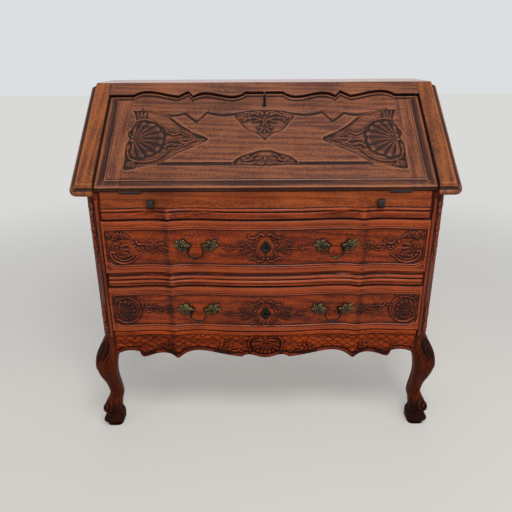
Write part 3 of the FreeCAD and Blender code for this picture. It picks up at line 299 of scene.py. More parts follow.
# Each finish: light and deep wood colours, the colour of dirt and painted shade, gloss and shine.
CASE_SHADES = ("9c4c20", "6c2c11", "180704", 0.28, 0.2)
FRONT_SHADES = ("963d15", "581d0a", "150503", 0.24, 0.18)
APRON_SHADES = ("a24014", "5a1d08", "120301", 0.3, 0.08)
FLAP_SHADES = ("874f31", "4c2921", "1c0a08", 0.3, 0.18)
STRIP_SHADES = ("955327", "572c1b", "1c0d08", 0.3, 0.2)
DARK_SHADES = ("7e3316", "4c1b0a", "110402", 0.28, 0.12)
# The legs' colours are darker partly as painted shade, for the shadow that the chest's body casts on them.
LEG_SHADES = ("5a210b", "321005", "0a0302", 0.3, 0.06)
INSIDE_SHADES = ("b98a5c", "8d6138", "3a2414", 0.5, 0.2)


def oaks(name, shades, *grains):
    """The same oak with its grain in several ways."""
    return {grain: oak(f"{name}_{grain}", grain, *shades) for grain in grains}


oak_case = oaks("oak_case", CASE_SHADES, "across", "deep", "upright")
oak_front = oak("oak_front_across", "across", *FRONT_SHADES)
oak_apron = oak("oak_apron_across", "across", *APRON_SHADES)
oak_flap = oaks("oak_flap", FLAP_SHADES, "across", "slope")
oak_top = oak("oak_top_across", "across", *CASE_SHADES)
top_shader = oak_top.node_tree.nodes["Principled BSDF"]
top_shader.inputs["Coat Weight"].default_value = 0.6
top_shader.inputs["Coat Roughness"].default_value = 0.12
oak_strip = oak("oak_strip_slope", "slope", *STRIP_SHADES)
oak_dark = oaks("oak_dark", DARK_SHADES, "across", "upright")
oak_leg = oak("oak_leg_upright", "upright", *LEG_SHADES)
oak_inside = oaks("oak_inside", INSIDE_SHADES, "across", "deep", "upright")
print("oak finishes made")

# %% [markdown]
# Metal. The handles are old cast brass, nearly black in the hollows and greenish gold where hands reach;
# the hinges, locks, key and knobs are iron with a brown skin. Both use the same patina attribute.

# %% Metal finishes
def old_metal(name, bright, dull, hollow_shade, metallic, rough):
    """Cast metal with a spotted skin, bright on its ridges."""
    material, wire, shader = finish(name)
    place = wire.node("ShaderNodeTexCoord", {}, "Object")
    skin = spotty(wire, place, 190.0, 5.0)
    broad = spotty(wire, place, 32.0, 2.0)
    patina = wire.node("ShaderNodeAttribute", {}, "Fac", attribute_name="patina")
    tone = 0.5 * skin + 0.5 * broad + 0.45 * patina
    stops = [(0.22, shade(hollow_shade)), (0.52, shade(dull)), (0.88, shade(bright))]
    metal = wire.node("ShaderNodeValToRGB", {"Fac": tone}, stops=stops)
    bump = {"Height": skin, "Strength": 0.25, "Distance": 0.0005}
    links = {
        "Base Color": metal, "Roughness": rough + 0.25 * skin - 0.1 * patina,
        "Normal": wire.node("ShaderNodeBump", bump),
    }
    join(wire, shader, links)
    shader.inputs["Metallic"].default_value = metallic
    return material


brass_old = old_metal("brass_old", "7d6840", "17130b", "040302", 0.7, 0.3)
iron_dark = old_metal("iron_dark", "42291f", "1c110d", "080504", 0.25, 0.5)
print("metal finishes made")

# %% [markdown]
# Every board and fitting of the frame gets its finish here, by its name. Carved pieces made later
# replace some of these boards; the finish then only matters for what stays.

# %% Finish the frame's own pieces
FINISHES = (
    (oak_leg, "front_leg"),
    (oak_dark["upright"], "rear_leg"),
    (oak_dark["across"], "front_apron"),
    (oak_case["upright"], "side_panel"),
    (oak_case["deep"], "side_rails slope_cheek"),
    (oak_case["across"], "frieze_rail writing_board loper"),
    (oak_inside["across"], "back_board bottom_board pigeonhole_case small_drawer _bottom"),
    (oak_inside["deep"], "drawer_runners loper_guides _box"),
    (oak_front, "drawer_divider _front"),
    (oak_strip, "slope_strip"),
    (oak_top, "top_board"),
    (oak_flap["across"], "top_rail flap_bottom_rail flap_top_rail flap_panel"),
    (oak_flap["slope"], "flap_stiles"),
    (iron_dark, "strike_plate hinge flap_lock flap_keyhole_plate flap_key loper_knob _lock _bolt"),
    (brass_old, "_rosettes _keyhole_plate _bail"),
)
NODE_FINISHES = {key: looks for looks, keys in FINISHES for key in keys.split()}


def finish_of(name):
    """The finish of a frame piece: the first entry that its name starts with, or else contains."""
    starts = [key for key in NODE_FINISHES if name.startswith(key)]
    inside = [key for key in NODE_FINISHES if key in name]
    return NODE_FINISHES[max(starts, key=len) if starts else max(inside, key=len)]


for name, node in nodes.items():
    node.data.materials.clear()
    node.data.materials.append(finish_of(name))
print("finished", len(nodes), "frame pieces")

# %% [markdown]
# Carving. A carver starts from a flat face, sinks the ground around the ornament and rounds what is
# left. The same is done here with numbers: the face is a fine grid of points, and every point gets a
# height in millimetres. Stems, leaves, beads and fans are simple functions of the distance to a line or a
# place, and where shapes meet the highest one wins. Comparing each height with the mean around it tells
# where dirt gathers and where hands polish, and that goes into the patina attribute, together with the
# painted shade and painted highlights that some pieces add.

# %% Lines and bumps
MM = 0.001


def spots_of(x, y, z):
    """Points in metres from arrays in millimetres."""
    return np.stack([x, y, z], axis=1) * MM


def grid(x0, x1, columns, y0, y1, rows):
    """A field of points, even both ways."""
    return np.meshgrid(np.linspace(x0, x1, columns), np.linspace(y0, y1, rows))


def curve(points, steps=8):
    """A smooth line through a few points."""
    knots = np.array(points, float)
    knots = np.vstack([2 * knots[0] - knots[1], knots, 2 * knots[-1] - knots[-2]])
    t = np.linspace(0, 1, steps, endpoint=False)[:, None]
    runs = []
    for a, b, c, d in zip(knots, knots[1:], knots[2:], knots[3:]):
        bend = (2 * a - 5 * b + 4 * c - d) * t ** 2 + (3 * b - a - 3 * c + d) * t ** 3
        runs.append(b + 0.5 * ((c - a) * t + bend))
    return np.vstack(runs + [knots[-2:-1]])


def nearest(x, y, line):
    """Distance of points from a line, and the share of its length where each is nearest."""
    gap = np.full(x.shape, np.inf)
    along = np.zeros(x.shape)
    steps = np.maximum(np.hypot(*np.diff(line, axis=0).T), 1e-6)
    starts = np.cumsum(steps) - steps
    for (ax, ay), (bx, by), step, start in zip(line, line[1:], steps, starts):
        t = np.clip(((x - ax) * (bx - ax) + (y - ay) * (by - ay)) / step ** 2, 0, 1)
        distance = np.hypot(x - ax - t * (bx - ax), y - ay - t * (by - ay))
        closer = distance < gap
        gap[closer] = distance[closer]
        along[closer] = (start + t * step)[closer]
    return gap, along / steps.sum()


def inside(x, y, line):
    """True for points inside a closed line."""
    odd = np.zeros(x.shape, bool)
    for (ax, ay), (bx, by) in zip(line, np.roll(line, -1, axis=0)):
        crossed = (ay > y) != (by > y)
        odd ^= crossed & (x < ax + (y - ay) * (bx - ax) / (by - ay + 1e-9))
    return odd


def ease(value, low, high):
    """A smooth rise from 0 at low to 1 at high."""
    t = np.clip((value - low) / (high - low), 0, 1)
    return t * t * (3 - 2 * t)


def hump(value, middle, half):
    """A round bump of height 1, half wide on either side of its middle."""
    return np.sqrt(np.clip(1 - ((value - middle) / half) ** 2, 0, 1))


def around(x, y, line, reach):
    """Indices of the points near a line's box."""
    low, high = line.min(axis=0) - reach, line.max(axis=0) + reach
    return np.nonzero((x > low[0]) & (x < high[0]) & (y > low[1]) & (y < high[1]))[0]


def sink(x, y, outline, depth):
    """Depth of a sunk ground: steep walls just inside a closed outline, then level."""
    line = curve(outline + outline[:1])
    spots = around(x, y, line, 0)
    ground = np.zeros(x.shape)
    gap, _ = nearest(x[spots], y[spots], line)
    ground[spots] = np.where(inside(x[spots], y[spots], line), depth * ease(gap, 0, 1.8), 0)
    return ground


print("lines and bumps ready")

# %% [markdown]
# The carver's shapes. Ornament of this kind is built from few shapes: stems that curl, leaves with a
# vein, beads, flowers and shells. Each could be a mesh of its own laid on the board, but then edges would
# cross. Raising one shared field of heights lets them all grow out of the same wood.


# %% Carved shapes
class Relief:
    """Carved shapes over a field of points, all in millimetres."""

    def __init__(self, x, y):
        self.shape = x.shape
        self.x = x.ravel()
        self.y = y.ravel()
        self.rise = np.zeros(x.size)

    def lift(self, spots, height):
        self.rise[spots] = np.maximum(self.rise[spots], height)

    def carve(self, *ornaments):
        """Carve ornaments, tables of shapes with the rows that each takes, and give the heights."""
        for ornament in ornaments:
            for shape, rows in ornament.items():
                for row in rows:
                    getattr(self, shape)(*row)
        return self.rise.reshape(self.shape)

    def stem(self, points, thick, thin, height):
        """A round stem along a curve, from a thick end to a thin one (half widths)."""
        line = curve(points)
        spots = around(self.x, self.y, line, thick + thin)
        gap, along = nearest(self.x[spots], self.y[spots], line)
        self.lift(spots, height * hump(gap, 0, thick + (thin - thick) * along))

    def leaf(self, points, wide, height, lobes=0):
        """A leaf along a curve, with a cut middle vein and, if asked, lobes along its edge."""
        line = curve(points)
        spots = around(self.x, self.y, line, 1.3 * wide)
        gap, along = nearest(self.x[spots], self.y[spots], line)
        edge = wide * np.sin(np.pi * np.clip(along, 0.02, 0.98) ** 0.7)
        wave = np.sin(np.pi * lobes * along + 0.8 * gap / wide) ** 2 if lobes else 0.6
        edge = edge * (0.72 + 0.45 * wave)
        body = np.clip(1 - (gap / edge) ** 2, 0, 1) ** 0.6
        vein = 1 - 0.5 * np.exp(-(gap / (0.16 * wide)) ** 2)
        self.lift(spots, height * body * vein * (0.7 + 0.3 * wave))

    def bead(self, place, radius, height):
        """A round bead."""
        spots = around(self.x, self.y, np.array([place], float), radius)
        gap = np.hypot(self.x[spots] - place[0], self.y[spots] - place[1])
        self.lift(spots, height * hump(gap, 0, radius))

    def flower(self, place, radius, petals, height, turn=0):
        """An open flower: petals round a bead."""
        spots = around(self.x, self.y, np.array([place], float), radius)
        x, y = self.x[spots] - place[0], self.y[spots] - place[1]
        reach = np.hypot(x, y) / radius
        petal = np.abs(np.cos(petals / 2 * (np.arctan2(y, x) - turn)))
        self.lift(spots, height * ease(0.45 + 0.55 * petal - reach, 0, 0.25) * (0.55 + 0.45 * reach))
        self.bead(place, 0.26 * radius, height)

    def fan(self, hub, rim, ribs, height):
        """A shell: flutes from a hub to a scalloped rim, whose points turn one way round the hub."""
        line = curve(rim)
        spots = around(self.x, self.y, np.vstack([line, hub]), 3)
        x, y = self.x[spots] - hub[0], self.y[spots] - hub[1]
        turns = np.unwrap(np.arctan2(line[:, 1] - hub[1], line[:, 0] - hub[0]))
        if turns[-1] < turns[0]:
            line, turns = line[::-1], turns[::-1]
        start = turns[0] - 0.2
        turn = start + (np.arctan2(y, x) - start) % (2 * np.pi)
        share = (turn - turns[0]) / (turns[-1] - turns[0])
        flute = np.abs(np.sin(np.pi * ribs * share))
        edge = np.interp(turn, turns, np.hypot(line[:, 0] - hub[0], line[:, 1] - hub[1]))
        reach = np.hypot(x, y) / (edge * (0.95 + 0.05 * flute))
        shell = (0.7 + 0.3 * np.sin(np.pi * reach)) * (0.5 + 0.5 * flute ** 0.8) * ease(1 - reach, 0, 0.12)
        self.lift(spots, height * np.where((share > 0) & (share < 1), shell, 0))


print("carved shapes ready")

# %% [markdown]
# From heights to a board. A grid operator makes the face and the heights move its points. Its rim is then
# extruded in rings to walls and a back, so that each board is closed like a real one. The same heights,
# set against their surroundings, tell where dirt and polish go.

# %% Boards and pieces
CARVED = 0.3


def blurred(field, reach):
    """Mean of a field over a square around every point."""
    sums = np.pad(np.pad(field, reach, mode="edge").cumsum(0).cumsum(1), ((1, 0), (1, 0)))
    size = 2 * reach + 1
    strips = sums[size:] - sums[:-size]
    return (strips[:, size:] - strips[:, :-size]) / size ** 2


def near(rise, reach, low, high):
    """1 on and close to carved shapes, fading to 0 on the plain ground."""
    return ease(blurred((rise > CARVED) * 1.0, reach), low, high)


def wear(height):
    """Dirt below zero in hollows, polish above zero on ridges: height against its surroundings."""
    return np.clip(0.9 * (height - blurred(height, 2)) + 0.35 * (height - blurred(height, 8)), -1, 1)


def piece_of(name, form, body, replaced, looks):
    """Turn a form into a piece that rides on a body and stands for frame pieces."""
    bmesh.ops.remove_doubles(form, verts=form.verts[:], dist=0.001 * MM)
    bmesh.ops.recalc_face_normals(form, faces=form.faces[:])
    mesh = bpy.data.meshes.new(name)
    form.to_mesh(mesh)
    form.free()
    mesh.materials.append(looks)
    piece = bpy.data.objects.new(name, mesh)
    scene.collection.objects.link(piece)
    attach(piece, body)
    if replaced:
        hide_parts(*replaced)


def add_board(form, x, y, place, height, rings, closed=False, dirt_shade_and_highlight=0.0, wall_shade=0.0, rub=1.0):
    """Add a carved board to a form: a grid of points, a wall round it in rings, and a back.

    The face's darkening is dirt and painted shade, and where it falls below zero a painted highlight; the
    walls' darkening is painted shade on each ring; rub is how much the ridges are polished.
    """
    rows, columns = x.shape
    layer = form.verts.layers.float.get("patina") or form.verts.layers.float.new("patina")
    cuts = {"x_segments": columns - 1, "y_segments": rows - 1}
    face = bmesh.ops.create_grid(form, size=1, **cuts)["verts"]
    patina = np.clip(rub * wear(height) - dirt_shade_and_highlight, -1, 1).ravel()
    for vert, point, patina_and_shading_value in zip(face, place(x.ravel(), y.ravel(), height.ravel()), patina):
        vert.co = point
        vert[layer] = patina_and_shading_value
    if closed:
        bmesh.ops.remove_doubles(form, verts=face, dist=0.02 * MM)
        face = [vert for vert in face if vert.is_valid]
    rim = set()
    for vert in face:
        for patch in vert.link_faces:
            patch.smooth = True
        rim.update(edge for edge in vert.link_edges if edge.is_boundary)
    for ring, soil_and_shade in zip(rings, np.broadcast_to(wall_shade, len(rings))):
        made = bmesh.ops.extrude_edge_only(form, edges=list(rim))["geom"]
        for vert in made:
            if isinstance(vert, bmesh.types.BMVert):
                vert.co = ring(vert.co)
                vert[layer] = -soil_and_shade
        rim = [edge for edge in made if isinstance(edge, bmesh.types.BMEdge) and edge.is_boundary]
    if rim:
        bmesh.ops.edgeloop_fill(form, edges=list(rim))


def frame_tree(name):
    """A search tree over a frame piece."""
    mesh = nodes[name].data
    return BVHTree.FromPolygons([v.co for v in mesh.vertices], [tuple(p.vertices) for p in mesh.polygons])


def ray(tree, start, way):
    """Where a ray from a start in millimetres meets a tree, in metres; None where it meets nothing."""
    return tree.ray_cast(Vector(start) * MM, Vector(way))[0]


print("boards and pieces ready")

# %% [markdown]
# The flap is one carved picture on five boards. Its own plane has x across, v up the slope from the
# hinge line and w out of the wood. The edges of the boards are found by shooting rays at the frame's
# rails, so the carving follows the real serpentine and the two pointed notches.

# %% Slope and edges of the flap
HINGE = Vector((0, -231, 756))
UP_SLOPE = Vector((0, math.cos(SLOPE), math.sin(SLOPE)))
OUT_SLOPE = Vector((0, -math.sin(SLOPE), math.cos(SLOPE)))
STILE = 388
FLAP_FACE = 19.5
IN_PANEL = 150
ABOVE_FLAP = 420


def slope_points(x, v, w):
    """Points of the slope in metres."""
    y, z = (HINGE[k] + v * UP_SLOPE[k] + w * OUT_SLOPE[k] for k in (1, 2))
    return spots_of(x, y, z)


def slope_spot(x, v, w):
    """One point of the slope in millimetres."""
    return HINGE + Vector((x, 0, 0)) + UP_SLOPE * v + OUT_SLOPE * w


def slope_hits(tree, columns, start, way, lift=FLAP_FACE / 2):
    """Where rays along the slope, at some lift over its plane, meet a rail: v for every column."""
    hits = [ray(tree, slope_spot(x, start, lift), UP_SLOPE * way) for x in columns]
    return np.array([(hit / MM - HINGE).dot(UP_SLOPE) for hit in hits])


rail_tree = frame_tree("flap_top_rail")
edge_columns = np.linspace(-STILE + 0.2, STILE - 0.2, 560)
notch_line = slope_hits(rail_tree, edge_columns, IN_PANEL, 1)
serpentine = slope_hits(rail_tree, edge_columns, ABOVE_FLAP, -1)
print("notch line from", round(notch_line.min()), "to", round(notch_line.max()), "mm up the slope")

# %% [markdown]
# The flap's ornament. At either end a big shell lies in a sunk, leafy field, and two small cartouches sit
# on the middle line. The points are millimetres on the flap's plane, given for the right half only, because
# the left half mirrors it.

# %% Flap ornament
SHELL_ZONE = [
    (387, 287), (350, 289), (330, 284), (300, 274), (275, 263), (242, 231), (202, 200), (160, 174),
    (198, 144), (241, 120), (290, 84), (330, 74), (384, 62), (388, 100), (391, 150), (384, 175),
    (391, 196), (372, 240),
]
TOP_ZONE = [
    (-9, 281), (30, 281), (60, 277), (88, 262), (74, 238), (52, 206), (22, 190), (0, 166), (-9, 172),
]
LOW_ZONE = [(-9, 134), (14, 133), (39, 123), (71, 109), (92, 84), (60, 78), (-9, 78)]

# The big shell at either end of the flap, with its scrolls, beads and leaves.
SHELL_RIM = [
    (380, 238), (366, 248), (342, 243), (312, 236), (293, 212), (280, 186), (284, 154), (294, 126),
    (320, 112), (346, 103), (376, 110),
]
SHELL = {
    "fan": [((372, 175), SHELL_RIM, 10, 4.6)],
    "flower": [((204, 175), 9, 6, 3.2)],
    "stem": [
        ([(386, 214), (376, 242), (352, 252), (322, 246), (298, 230), (282, 212)], 2.2, 1.4, 3.6),
        ([(384, 128), (374, 104), (350, 94), (320, 94), (294, 105), (276, 124), (266, 138)], 3, 1.6, 4.4),
        ([(276, 200), (258, 192), (242, 200), (226, 190), (208, 182)], 2.4, 1.2, 3.8),
        ([(276, 152), (262, 158), (244, 152), (228, 160), (206, 166), (192, 172)], 2.6, 1.2, 3.8),
        ([(272, 208), (256, 204), (240, 210), (222, 196)], 1.8, 1, 3),
        ([(268, 142), (248, 142), (232, 150), (214, 158)], 1.8, 1, 3),
        ([(240, 168), (222, 160), (214, 170), (224, 180)], 2, 1.4, 3.6),
        ([(194, 174), (184, 174), (172, 174)], 2, 0.8, 2.8),
    ],
    "leaf": [([(270, 172), (250, 172), (222, 176), (200, 176)], 5, 3.6, 3)],
    "bead": [
        ((374, 183), 6, 5), ((376, 170), 5, 5), ((366, 176), 3.4, 5), ((280, 206), 4.6, 5),
        ((279, 148), 5, 5), ((268, 171), 3.6, 4), ((262, 196), 2.6, 4), ((258, 150), 2.6, 4),
        ((246, 142), 2.6, 4), ((196, 175), 3, 4),
    ],
}
for k in range(4):
    upper = [(346 + 9 * k, 252), (350 + 9 * k, 266), (346 + 13 * k, 285)]
    lower = [(360 + 6 * k, 98 - 2 * k), (364 + 5 * k, 86 - 2 * k), (346 + 12 * k, 70 + 2 * k)]
    SHELL["leaf"] += [(upper, 4.6, 4, 3), (lower, 4.6, 4, 3)]

# The two small ornaments on the middle line of the flap.
CARTOUCHES = {
    "stem": [
        ([(2, 236), (8, 222), (18, 216), (22, 222)], 3, 1.6, 4),
        ([(4, 246), (18, 252), (32, 258), (48, 254), (58, 244)], 3, 1.8, 4),
        ([(16, 268), (34, 274), (48, 266), (42, 260)], 2.6, 1.6, 3.8),
        ([(12, 83), (26, 88), (42, 84), (60, 86), (78, 84)], 2.8, 1.6, 3.6),
        ([(56, 94), (44, 96), (36, 106), (26, 116), (18, 112)], 3, 1.8, 4),
    ],
    "leaf": [
        ([(0, 262), (0, 232), (0, 196)], 6, 4), ([(3, 226), (10, 208), (20, 200)], 4.5, 4),
        ([(14, 250), (28, 242), (36, 246)], 4, 3.4, 2), ([(36, 256), (56, 254), (74, 258)], 5, 3.6, 3),
        ([(78, 90), (62, 98), (52, 110), (38, 108)], 6.5, 4, 3), ([(0, 86), (0, 98), (0, 116)], 4.5, 4),
        ([(50, 92), (44, 100), (32, 98)], 4.5, 3.6, 2),
        *[([(2, 87), (6 + 4 * k, 98 - 3 * k), (8 + 8 * k, 106 - 6 * k)], 3, 3.6) for k in range(3)],
    ],
    "bead": [((58, 246), 3.4, 4), ((7, 274), 4.2, 4.4), ((20, 274), 2.8, 3.6), ((7, 85), 3.6, 4)],
}
shapes = [row for table in (SHELL, CARTOUCHES) for rows in table.values() for row in rows]
print("flap ornament:", len(shapes), "shapes on its right half")

# %% [markdown]
# Heights and shading of the flap. The ground is sunk round the ornament, grooves run along the panel's
# edges, and a moulding goes round the whole flap. The sunk ground and the moulding are darker, the grooves,
# the quirk and the rail's stepped edge get painted shade, and the nose and a bead get painted highlights.

# %% Flap heights
FLAP_HALF = 458
FLAP_FOOT = 80
FLAP_END = 0.6
MOULDING = 29
NOTCH_GROOVE_HALF = 360
FOOT_GROOVE_HALF = 296


def flap_edge_profile(d):
    """Height of the moulding round the flap, by the distance from its edge."""
    nose = -5 * (1 - hump(np.minimum(d, 5), 5, 5)) - 1.6 * ease(d, 0, 5)
    cove = -1.6 - 0.8 * hump(d, 15, 9)
    profile = np.where(d < 5, nose, cove)
    profile = np.where(d > 24.5, -0.4 - 1.2 * (1 - hump(d, 26.6, 2.1)), profile)
    return np.where(d > 28.7, -1.6 * hump(d, 29.8, 1.1), profile)


def flap_height(x, v):
    """Height of the carved flap over its frame's face, its dirt, painted shade and painted highlights, and
    where ornament lies.
    """
    side = np.abs(x)
    rise = Relief(side, v).carve(SHELL, CARTOUCHES)
    ground = np.maximum(sink(side, v, SHELL_ZONE, 4.6), sink(side, v, TOP_ZONE, 4.2))
    ground = np.maximum(ground, sink(side, v, LOW_ZONE, 4.2))
    ripple = 0.3 * np.sin(1.7 * side + 0.9 * v) * np.sin(1.3 * v - 1.1 * side)
    carved = ease(rise, CARVED, 1)
    height = np.minimum(rise + ripple * carved, ground + 0.4) - ground
    notch = np.interp(x, edge_columns, notch_line)
    framed = side < NOTCH_GROOVE_HALF
    footed = side < FOOT_GROOVE_HALF
    plain = 1 - ease(ground, 0, 1)
    lines = framed * hump(v, notch - 6, 6.6) + footed * hump(v, FLAP_FOOT + 4.6, 5)
    above = ease(v, notch - 2, notch) * ease(notch + 11 - v, 0, 11)
    below = ease(FLAP_FOOT + 1 - v, 0, 2) * ease(v, FLAP_FOOT - 9, FLAP_FOOT)
    bands = framed * above + footed * below
    height = height - plain * (3.6 * lines + 2 * bands)
    head = np.interp(x, edge_columns, serpentine) - v
    from_edge = np.minimum(np.minimum(FLAP_HALF - side, v - FLAP_END), 1.7 * head)
    low = v - FLAP_END < FLAP_HALF - side
    # Darker towards the middle of the flap, and over the rail above the notch.
    extra_dark = 0.17 * (1 - ease(side, 60, 240))
    extra_dark = np.where(framed & (v > notch), 0.24 * ease(v - notch, 2, 12), extra_dark)
    dirt_shade_and_highlight = 0.1 * ease(ground, 0.5, 3) + 0.34 * carved * (ground > 1)
    # Painted shade in the grooves along the panel and on the bands where the rail's edge steps down.
    dirt_shade_and_highlight = dirt_shade_and_highlight + plain * (0.9 * ease(lines, 0.1, 0.6) + 0.22 * bands + extra_dark)
    dirt_shade_and_highlight = dirt_shade_and_highlight + np.where(low, 0.28, 0.42) * ease(MOULDING - from_edge, 0, 3)
    # A painted highlight on the nose of the moulding, stronger along the bottom edge.
    dirt_shade_and_highlight = dirt_shade_and_highlight - np.where(low, 0.6, 0.3) * hump(from_edge, 5.4, 2.4)
    # Painted shade in the quirk inside the moulding, and a painted highlight on the bead beside it.
    quirk_shade_and_highlight = 0.8 * hump(v, 31, 2.6) - 0.5 * hump(v, 26.6, 1.6)
    dirt_shade_and_highlight = dirt_shade_and_highlight + (side < FLAP_HALF - MOULDING) * quirk_shade_and_highlight
    return height + flap_edge_profile(np.clip(from_edge, 0, MOULDING + 5)), dirt_shade_and_highlight, carved


print("flap heights ready, with a moulding", MOULDING, "mm wide")

# %% [markdown]
# The boards of the flap. Panel, rails and stiles stay separate pieces, as a joiner makes them, and each
# takes its part of the one picture. Their backs stay where the frame's boards have them, so that the flap
# still closes.

# %% Flap boards
FLAP_BACK = 0.15


def to_flap_back(place):
    """The point behind a place on the flap's back."""
    return place - OUT_SLOPE * ((place / MM - HINGE).dot(OUT_SLOPE) - FLAP_BACK) * MM


def to_flap_wall(share):
    """A step that takes a place some share of the way to the flap's back."""
    return lambda place: place.lerp(to_flap_back(place), share)


def flap_place(x, v, height):
    """Points of the flap in metres, with height standing out of its face."""
    return slope_points(x, v, FLAP_FACE + height)


def flap_board(name, patches, grain):
    """One board of the flap from patches (x from, x to, lower v, upper v, columns, rows)."""
    form = bmesh.new()
    rings = [to_flap_wall(0.5), to_flap_wall(0.9), to_flap_back]
    for x0, x1, low, high, columns, rows in patches:
        across, up = grid(x0, x1, columns, 0, 1, rows)
        bottom, top = (np.interp(across, edge_columns, 0 * edge_columns + end) for end in (low, high))
        v = bottom + up * (top - bottom)
        height, dirt_shade_and_highlight, carved = (field.reshape(v.shape) for field in flap_height(across.ravel(), v.ravel()))
        dirt_shade_and_highlight = dirt_shade_and_highlight + 0.34 * ease(blurred(carved, 5), 0.02, 0.4)
        # The walls round each flap board get painted shade: a little near the face and dark further in.
        add_board(form, across, v, flap_place, height, rings, dirt_shade_and_highlight=dirt_shade_and_highlight, wall_shade=(0.2, 1.0, 0.0))
    piece_of(f"{name}_carved", form, "flap", [name], oak_flap[grain])


stile_head = slope_hits(frame_tree("flap_stiles"), [STILE + 20], ABOVE_FLAP, -1)[0]
stiles = [(side * STILE, side * FLAP_HALF, FLAP_END, stile_head, 54, 230) for side in (-1, 1)]
flap_board("flap_stiles", stiles, "slope")
flap_board("flap_bottom_rail", [(-STILE, STILE, FLAP_END, FLAP_FOOT, 520, 60)], "across")
flap_board("flap_top_rail", [(-STILE, STILE, notch_line, serpentine, 520, 56)], "across")
flap_board("flap_panel", [(-STILE, STILE, FLAP_FOOT, notch_line, 560, 156)], "across")
print("flap carved")

# %% [markdown]
# The top rail behind the flap shows its serpentine edge and a narrow face. Its frame piece is sharp, so a
# thin board with a rounded edge is laid over it, with painted shadow along its edge and wall where it meets
# the flap.

# %% Top rail
RAIL_FACE = 27.25
RAIL_HALF = 459.6
RAIL_HEAD = 393
UNDER_RAIL = 300
RAIL_LIFT = 23

across, up = grid(-RAIL_HALF, RAIL_HALF, 620, 0, 1, 36)
edge = slope_hits(frame_tree("top_rail"), across[0], UNDER_RAIL, 1, RAIL_LIFT) - 0.2
v = edge + up * (RAIL_HEAD - edge)
height = RAIL_FACE - 2.2 * (1 - hump(np.minimum(v - edge, 3), 3, 3))
form = bmesh.new()
rings = [lambda p: p - OUT_SLOPE * MM, lambda p: p - OUT_SLOPE * 7 * MM]
# Painted shadow along the rail's rounded edge and on its wall, where it overhangs the flap.
add_board(form, across, v, slope_points, height, rings, dirt_shade_and_highlight=0.9 * ease(3 - v + edge, 0, 2), wall_shade=1.0)
piece_of("top_rail_face", form, "carcase", [], oak_flap["across"])
print("top rail faced")

# %% [markdown]
# The fronts below the flap share one wavy plan: a bulge in the middle, a sharp ridge on either side of
# it and hollows between. The plan is measured from the frame with rays and smoothed by one polynomial for
# each stretch between ridges, so that light runs along it without facets.

# %% Wavy fronts
FRONT_BACK = -209
RIDGE = 267
FRONT_HALF = 452
LAP_HALF = 444.5
LAP_BACK = -230.4
BEFORE = -400
BACKWARD = (0, 1, 0)


def wavy_front(name, level):
    """y of the wavy field of a frame piece as a function of x, from rays at one height."""
    tree = frame_tree(name)
    stretches = []
    for low, high in ((-FRONT_HALF, -RIDGE), (-RIDGE, RIDGE), (RIDGE, FRONT_HALF)):
        stations = np.linspace(low + 0.05, high - 0.05, 80)
        hits = [ray(tree, (x, BEFORE, level), BACKWARD) for x in stations]
        met = [(x, hit.y / MM) for x, hit in zip(stations, hits) if hit]
        stretches.append(np.polynomial.Polynomial.fit(*np.transpose(met), 12))
    left, middle, right = stretches
    return lambda x: np.where(x < -RIDGE, left(x), np.where(x > RIDGE, right(x), middle(x)))


front_plan = wavy_front("upper_drawer_front", 600)


def front_place(x, z, height):
    """Points of a wavy front in metres, with height standing out of its field."""
    return spots_of(x, front_plan(x) - height, z)


def ridge_shade(x):
    """Painted shade in the hollow just outside the sharp ridges."""
    return 0.32 * np.exp(-((np.abs(x) - RIDGE - 9) / 10) ** 2)


def lap_edge(place):
    """The back of the lap, or just behind the place where a hollow of the wave is deeper."""
    return Vector((place.x, max(place.y + 0.6 * MM, LAP_BACK * MM), place.z))


def lap_corner(place):
    """The place drawn in to the part of a front that enters the case."""
    return Vector((max(-LAP_HALF * MM, min(LAP_HALF * MM, place.x)), place.y, place.z))


def front_back(place):
    """The point behind a place on a front's back."""
    return Vector((place.x, FRONT_BACK * MM, place.z))


print("wavy plan measured, its middle at y", round(float(front_plan(0.0)), 1))

# %% [markdown]
# The drawer fronts. A lip runs round a field with rounded corners, and a bead marks the step. In the
# middle a leafy spray frames the keyhole; at the ends a flower or a shell sits in a big C-shaped scroll.
# Each ornament is drawn from its own middle.

# %% Drawer ornaments
# Scrolls, leaves, beads and a small flower on either side of a keyhole.
KEYHOLE_SPRAY = {
    "flower": [((104, -2), 8, 5, 3)],
    "stem": [
        ([(8, 39), (16, 40), (25, 33), (39, 28), (49, 34), (46, 38)], 2.6, 1.6, 4),
        ([(8, -38), (20, -40), (32, -31), (43, -32), (44, -37)], 2.3, 1.4, 3.6),
        ([(62, 19), (70, 20), (78, 15)], 1.3, 1, 3.4), ([(49, -4), (62, -16), (77, -18)], 1.5, 1.1, 3.6),
        ([(30, -1), (60, -2), (100, -2)], 1.6, 1.1, 2.8), ([(24, -4), (22, -16), (14, -27)], 1.8, 1.2, 3),
    ],
    "leaf": [
        ([(16, 35), (24, 24), (29, 9)], 6, 3, 6), ([(34, 0), (48, 8), (62, 19)], 6.4, 3.2, 5),
        ([(36, -1), (54, 6), (78, 15)], 6.4, 3.2, 5), ([(36, -2), (52, -8), (77, -18)], 6.4, 3.2, 5),
        ([(36, -2), (48, -9), (62, -22)], 5, 3, 4), ([(28, -8), (28, -19), (34, -30)], 5, 3, 5),
        ([(92, -1), (97, 4.2), (101, 7)], 2.6, 2.8), ([(92, -1), (97, -4.8), (101, -8)], 2.6, 2.8),
        ([(110, -2), (120, 0), (128, -1)], 2.8, 2.6),
    ],
    "bead": [((6, 37), 3.4, 4), ((31, 8), 3.6, 4.4), ((6, -32), 4.2, 4.6)],
}

